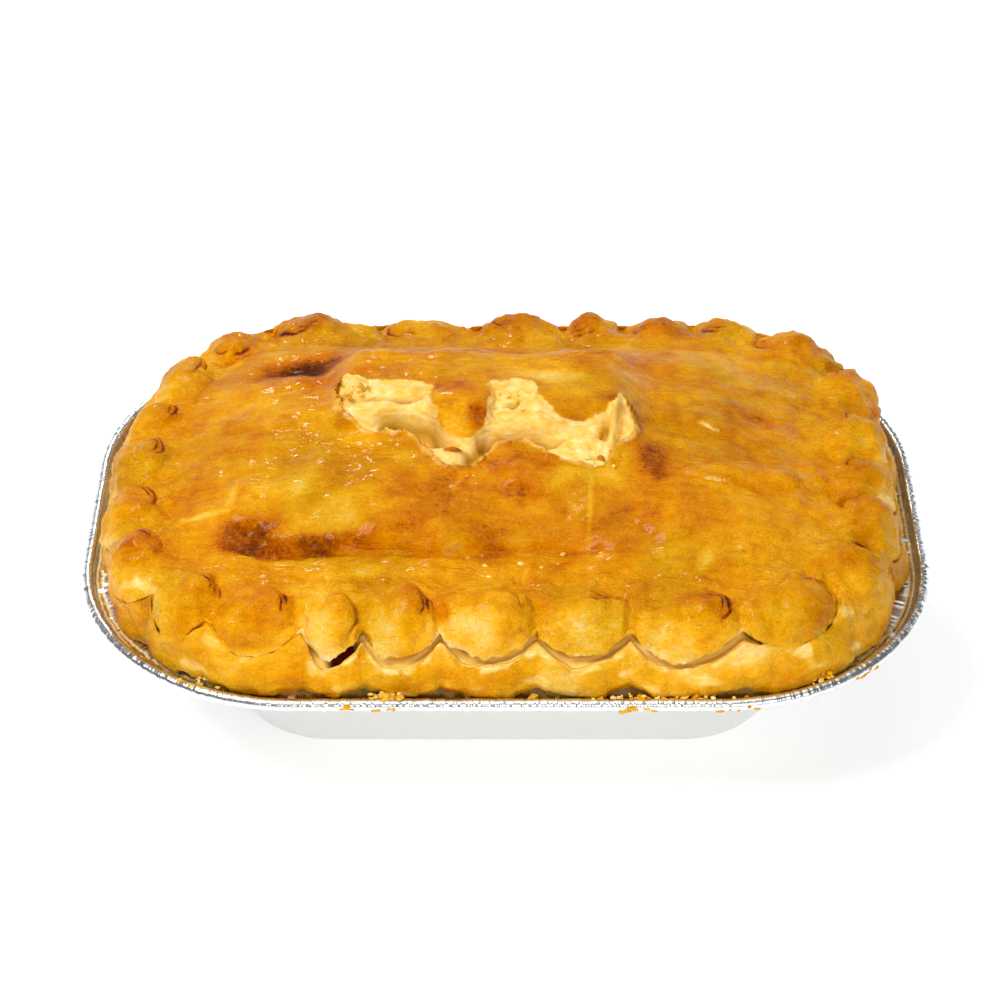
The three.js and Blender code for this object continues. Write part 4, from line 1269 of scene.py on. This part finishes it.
class PIE_OT_tray(bpy.types.Operator):
    """Makes the foil tray: sloping walls, pleated flange and crimped rolled rim"""

    bl_idname = "pie.tray"
    bl_label = "Foil tray"

    def execute(self, context):
        look = context.scene.pie_look
        arc, s = walk(TRAY_COLUMNS)
        # share of the way down the wall, inset from it and level
        outer_wall = (
            (1, 4, 0.0),
            (0.98, 0.4, 1.2),
            (0.9, 0, 4.6),
            (0.68, 0, WALL_TOP * 0.32),
            (0.45, 0, WALL_TOP * 0.55),
            (0.24, 0, WALL_TOP * 0.76),
            (0.07, 0, WALL_TOP - 4),
        )
        # inset from the rim and level
        outer_flange = (
            (FLANGE_WIDTH - 1.2, WALL_TOP - FOIL - 0.6),
            (FLANGE_WIDTH - 4, WALL_TOP - FOIL),
            (FLANGE_WIDTH - 9, WALL_TOP - FOIL),
            (2 * BEAD_RADIUS + 0.8, WALL_TOP - FOIL),
        )
        bead = [math.radians(degrees) for degrees in (-100, -60, -20, 20, 60, 100, 140)]
        rolled = [(BEAD_RADIUS * (1 - math.cos(a)), RIM_LEVEL + BEAD_RADIUS * math.sin(a)) for a in bead]
        inner_flange = (
            (2 * BEAD_RADIUS + 0.8, WALL_TOP),
            (FLANGE_WIDTH - 9, WALL_TOP),
            (FLANGE_WIDTH - 2.5, WALL_TOP),
            (FLANGE_WIDTH + 0.2, WALL_TOP - 1),
        )
        inner_wall = (
            (0.08, FOIL + 0.3, WALL_TOP - 4),
            (0.45, FOIL + 0.2, WALL_TOP * 0.55),
            (0.9, FOIL + 0.2, 4.6 + FOIL),
            (0.98, 1.4, 1.2 + FOIL),
            (1, 4.8, FOIL),
        )
        # rings 0 to 6, 7 to 10, 11 to 17, 18 to 21 and 22 to 26
        controls = [place(s, wall_rect(k, inset), z) for k, inset, z in outer_wall]
        controls += [place(s, rect(inset), z) for inset, z in (*outer_flange, *rolled, *inner_flange)]
        controls += [place(s, wall_rect(k, inset), z) for k, inset, z in inner_wall]
        rows = np.concatenate([
            np.linspace(0, 2, 5), np.linspace(2, 7, 16)[1:], np.linspace(7, 10, 7)[1:],
            np.linspace(10, 18, 25)[1:], np.linspace(18, 20, 7)[1:], np.linspace(20, 26, 7)[1:],
        ])
        points = spline(np.array(controls), rows)
        t = rows[:, None] * np.ones(TRAY_COLUMNS)
        around = np.broadcast_to(arc, t.shape)
        flange = smooth(7.2, 8.6, t) * (1 - smooth(19.6, 20.6, t))
        flange = flange * (1 - smooth(10.2, 11, t) * (1 - smooth(17, 18, t)))
        along = around * RIM_STRETCH
        pleat = np.abs(noise_xy(along + 0.35 * t, 0 * t, 3.4, 60))
        pleat = pleat + 0.5 * np.abs(noise_xy(along, 0 * t, 1.7, 61))
        rim = smooth(10.4, 11.4, t) * (1 - smooth(16.6, 17.8, t))
        crimp = np.abs(noise_xy(along + 0.3 * t, 0.25 * t, 2.0, 62))
        crimp = crimp + 0.5 * noise_xy(along, 0.3 * t, 3.6, 63)
        wall = smooth(1.5, 3.0, t) * (1 - smooth(6.6, 7.4, t))
        dents = 0.9 * noise(points, np.array([30.0, 30.0, 20.0]), 64) + 0.25 * noise(points, 9.0, 65)
        corner = smooth(0.12, 0.5, np.abs(s["nx"] * s["ny"]))
        fold = np.exp(-((noise_xy(around, 0 * t, 7.5, 66) / 0.06) ** 2))
        fold = fold * corner * smooth(3.2, 5.2, t) * (s["ny"] > 0)
        for at, slant, low in WALL_FOLDS:
            off = past(around, at + slant * (t - 5.0))
            fold = fold + np.exp(-((off / 0.6) ** 2)) * smooth(low - 0.4, low + 0.4, t)
        # the pleats move the foil up and down, and the rest moves it along its normals
        points = points + np.array([0, 0, 1.0]) * (1.5 * (pleat - 0.3) * flange)[..., None]
        shift = 0.4 * (crimp - 0.3) * rim + (dents - 1.8 * fold) * wall
        points = points + outward(points) * shift[..., None]
        groove = np.exp(-(((t - 18.3) / 0.35) ** 2))
        uneven = 0.2 * noise_xy(around, 0 * t, 12.0, 67)
        # the front flange is browned with baked juice and with the pastry's warm bounce light painted in;
        # the groove inside the bead is darkest
        stain_and_bounce_light = flange * (0.85 * smooth(0.8, 0.97, -s["ny"]) + uneven) + 1.3 * groove
        pressed = np.maximum(flange, rim)
        marks = [("stain_and_bounce_light", list(stain_and_bounce_light)), ("around", list(around * MM)), ("pressed", list(pressed))]
        tray = ring_mesh("pressed_tray", [0, 0, 0], list(points), [0, 0, FOIL], marks)
        tray.data.materials.append(rolled_foil(look))
        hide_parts("foil_tray")
        return {"FINISHED"}


def chips(name, centres, sizes, turns, roughness, seed, marks):
    """Many small closed lumps as one mesh: ellipsoids turned about Z, with noise on their radius."""
    around, up = 10, 6
    theta = np.arange(around) / around * 2 * np.pi
    phi = (np.arange(up) + 1) / (up + 1) * np.pi - np.pi / 2
    level = [np.outer(np.cos(phi), np.cos(theta)), np.outer(np.cos(phi), np.sin(theta))]
    ball = np.stack([*level, np.outer(np.sin(phi), np.ones(around))], -1).reshape(-1, 3)
    ball = np.vstack([[0, 0, -1], ball, [0, 0, 1]])
    count, each = len(centres), len(ball)
    shapes = ball[None] * sizes[:, None, :]
    apart = shapes + 40.0 * np.arange(count)[:, None, None]
    shapes = shapes * (1 + roughness * noise(apart, 1.4, seed))[..., None]
    c, s = np.cos(turns)[:, None], np.sin(turns)[:, None]
    x, y, z = shapes[..., 0], shapes[..., 1], shapes[..., 2]
    points = (np.stack([x * c - y * s, x * s + y * c, z], -1) + centres[:, None, :]).reshape(-1, 3)
    j = np.arange(around)
    ahead_j = (j + 1) % around
    first = np.stack([np.zeros_like(j), 1 + ahead_j, 1 + j], 1)
    rows = 1 + np.arange(up - 1)[:, None] * around
    low, low_ahead = rows + j, rows + ahead_j
    lower = np.stack([low, low_ahead, low_ahead + around], -1)
    upper = np.stack([low, low_ahead + around, low + around], -1)
    sides = np.concatenate([lower, upper])
    last = 1 + (up - 1) * around
    cap = np.stack([last + j, last + ahead_j, np.full_like(j, each - 1)], 1)
    faces = np.vstack([first, sides.reshape(-1, 3), cap])
    faces = (faces[None] + (np.arange(count) * each)[:, None, None]).reshape(-1, 3)
    mesh = bpy.data.meshes.new(name)
    mesh.from_pydata((points * MM).tolist(), [], faces.tolist())
    mesh.polygons.foreach_set("use_smooth", np.ones(len(faces), bool))
    for mark, values in marks:
        layer = mesh.attributes.new(mark, "FLOAT", "POINT")
        layer.data.foreach_set("value", np.repeat(values, each).astype(np.float32))
    return add_piece(name, mesh)


class PIE_OT_drips(bpy.types.Operator):
    """Makes the drips of egg wash that baked onto the front of the rolled rim"""

    bl_idname = "pie.drips"
    bl_label = "Baked egg drips"

    def execute(self, context):
        look = context.scene.pie_look
        at = np.array([
            x + length * (i - 2) / 4 + 0.8 * (draw(k * 7 + i, 71) - 0.5)
            for k, (x, length) in enumerate(DRIPS)
            for i in range(5)
        ])
        s = stations(at)
        k = np.arange(len(at))
        drop = mix(0.4, -1.6, draw(k, 72))
        centres = place(s, rect(BEAD_RADIUS * 0.25), 0.0)
        centres[:, 2] = RIM_LEVEL + drop
        ranges = ((0.7, 1.9), (0.5, 0.9), (0.4, 1.0))
        sizes = np.stack([mix(low, high, draw(k, 73 + i)) for i, (low, high) in enumerate(ranges)], -1)
        turns = np.arctan2(s["ny"], s["nx"]) + np.pi / 2
        marks = (("bake", mix(0.2, 0.44, draw(k, 76))), ("torn", np.zeros(len(at))))
        drips = chips("baked_egg_drips", centres, sizes, turns, 0.35, 77, marks)
        drips.data.materials.append(pastry(look))
        return {"FINISHED"}


class PIE_OT_flakes(bpy.types.Operator):
    """Scatters the torn flakes and crumbs at the pie's foot, round its vent and on its lid"""

    bl_idname = "pie.flakes"
    bl_label = "Flakes and crumbs"

    def execute(self, context):
        look = context.scene.pie_look
        table = np.array(CRUMBLED, float)
        places, spreads, counts = table[:, :3], table[:, 3:6], table[:, 6].astype(int)
        which = np.repeat(np.arange(len(places)), counts)
        k = np.arange(len(which))
        drift = sum(np.stack([draw(k, salt + i) for i in range(3)], -1) for salt in (81, 84))
        centres = places[which] + (drift - 1.0) * spreads[which]
        on_lid = centres[:, 2] < 0
        x, y = centres[:, 0], centres[:, 1]
        edge = rect(CROWN_INSET)
        share = np.clip(np.maximum(np.abs(x - LID_SHIFT) / edge[0], np.abs(y) / edge[1]), 0, 1)
        lying = RIM_LEVEL + crown_height(x, y, share) - 2.6 * spot(x, y, -8, 0, 44, 17, 0, 2)
        centres[:, 2] = np.where(on_lid, lying, centres[:, 2])
        size = mix(0.35, 1.3, draw(k, 87) ** 2)
        sizes = np.stack([size * mix(1.0, 1.8, draw(k, 88)), size, size * mix(0.25, 0.6, draw(k, 89))], -1)
        marks = (("bake", mix(0.1, 0.5, draw(k, 90))), ("torn", 0.9 * (draw(k, 91) > 0.35)))
        turns = 6.28 * draw(k, 92)
        flakes = chips("pastry_flakes", centres, sizes, turns, 0.6, 93, marks)
        flakes.data.materials.append(pastry(look))
        return {"FINISHED"}


class PIE_OT_stage(bpy.types.Operator):
    """Sets up the white floor, the soft lights and the camera"""

    bl_idname = "pie.stage"
    bl_label = "Studio"

    def execute(self, context):
        look, stage = context.scene.pie_look, context.scene.pie_stage
        bpy.ops.mesh.primitive_plane_add(size=8.0, location=(0, 0, 0))
        floor = context.object
        floor.name = "studio_floor"
        floor.data.materials.append(plain_floor(look))

        room = bpy.data.worlds.new("white_room")
        room.use_nodes = True
        background = room.node_tree.nodes["Background"]
        background.inputs["Color"].default_value = (1.0, 1.0, 1.0, 1.0)
        background.inputs["Strength"].default_value = stage.air
        context.scene.world = room

        def softbox(name, place_at, aim, size, power):
            lamp = bpy.data.lights.new(name, "AREA")
            lamp.shape = "RECTANGLE"
            lamp.size, lamp.size_y = size
            lamp.energy = power
            holder = bpy.data.objects.new(name, lamp)
            holder.location = place_at
            holder.rotation_euler = (Vector(aim) - Vector(place_at)).to_track_quat("-Z", "Y").to_euler()
            context.scene.collection.objects.link(holder)

        softbox("key_softbox", (-0.5, -0.35, 1.05), (0, 0, 0.07), (0.4, 0.4), stage.key)
        softbox("front_softbox", (0.4, -1.1, 0.6), (0, 0, 0.06), (0.9, 0.5), stage.fill)
        softbox("overhead_softbox", (0.1, 0.05, 1.35), (0, 0, 0.07), (1.1, 1.1), stage.overhead)
        softbox("left_card", (-0.8, 1.0, 0.2), (-0.14, 0, 0.05), (1.2, 0.5), stage.cards)
        softbox("right_card", (0.8, 1.0, 0.2), (0.14, 0, 0.05), (1.2, 0.5), RIGHT_CARD_SHARE * stage.cards)
        softbox("glint_lamp", (-0.25, 0.85, 0.72), (0, 0, 0.09), (0.14, 0.1), stage.glint)

        camera = bpy.data.objects.new("studio_camera", bpy.data.cameras.new("studio_camera"))
        camera.data.lens = stage.lens
        camera.data.sensor_width = 36.0
        aim = Vector(CAMERA_AIM) * MM
        away = Vector((0.0, -math.cos(stage.elevation), math.sin(stage.elevation))) * stage.distance
        camera.location = aim + away
        camera.rotation_euler = (math.pi / 2 - stage.elevation, 0.0, 0.0)
        context.scene.collection.objects.link(camera)
        context.scene.camera = camera
        context.scene.view_settings.view_transform = "Standard"
        return {"FINISHED"}


class PIE_PT_panel(bpy.types.Panel):
    """The pie's pieces and settings"""

    bl_label = "Steak Pie"
    bl_idname = "PIE_PT_panel"
    bl_space_type = "VIEW_3D"
    bl_region_type = "UI"
    bl_category = "Steak Pie"

    def draw(self, context):
        for group in (context.scene.pie_look, context.scene.pie_stage):
            for key in group.__annotations__:
                self.layout.prop(group, key)
        for operator in OPERATORS:
            self.layout.operator(operator.bl_idname)


OPERATORS = (PIE_OT_tray, PIE_OT_base, PIE_OT_lid, PIE_OT_drips, PIE_OT_flakes, PIE_OT_stage)
CLASSES = (PieLook, PieStage, *OPERATORS, PIE_PT_panel)


def register():
    """Registers the classes and hangs the settings on the scene."""
    for cls in CLASSES:
        bpy.utils.register_class(cls)
    bpy.types.Scene.pie_look = bpy.props.PointerProperty(type=PieLook)
    bpy.types.Scene.pie_stage = bpy.props.PointerProperty(type=PieStage)


def unregister():
    """Takes away what register added."""
    del bpy.types.Scene.pie_stage
    del bpy.types.Scene.pie_look
    for cls in reversed(CLASSES):
        bpy.utils.unregister_class(cls)


def main():
    """Makes every piece."""
    register()
    bpy.ops.pie.tray()
    bpy.ops.pie.base()
    bpy.ops.pie.lid()
    bpy.ops.pie.drips()
    bpy.ops.pie.flakes()
    bpy.ops.pie.stage()


if __name__ == "__main__":
    main()
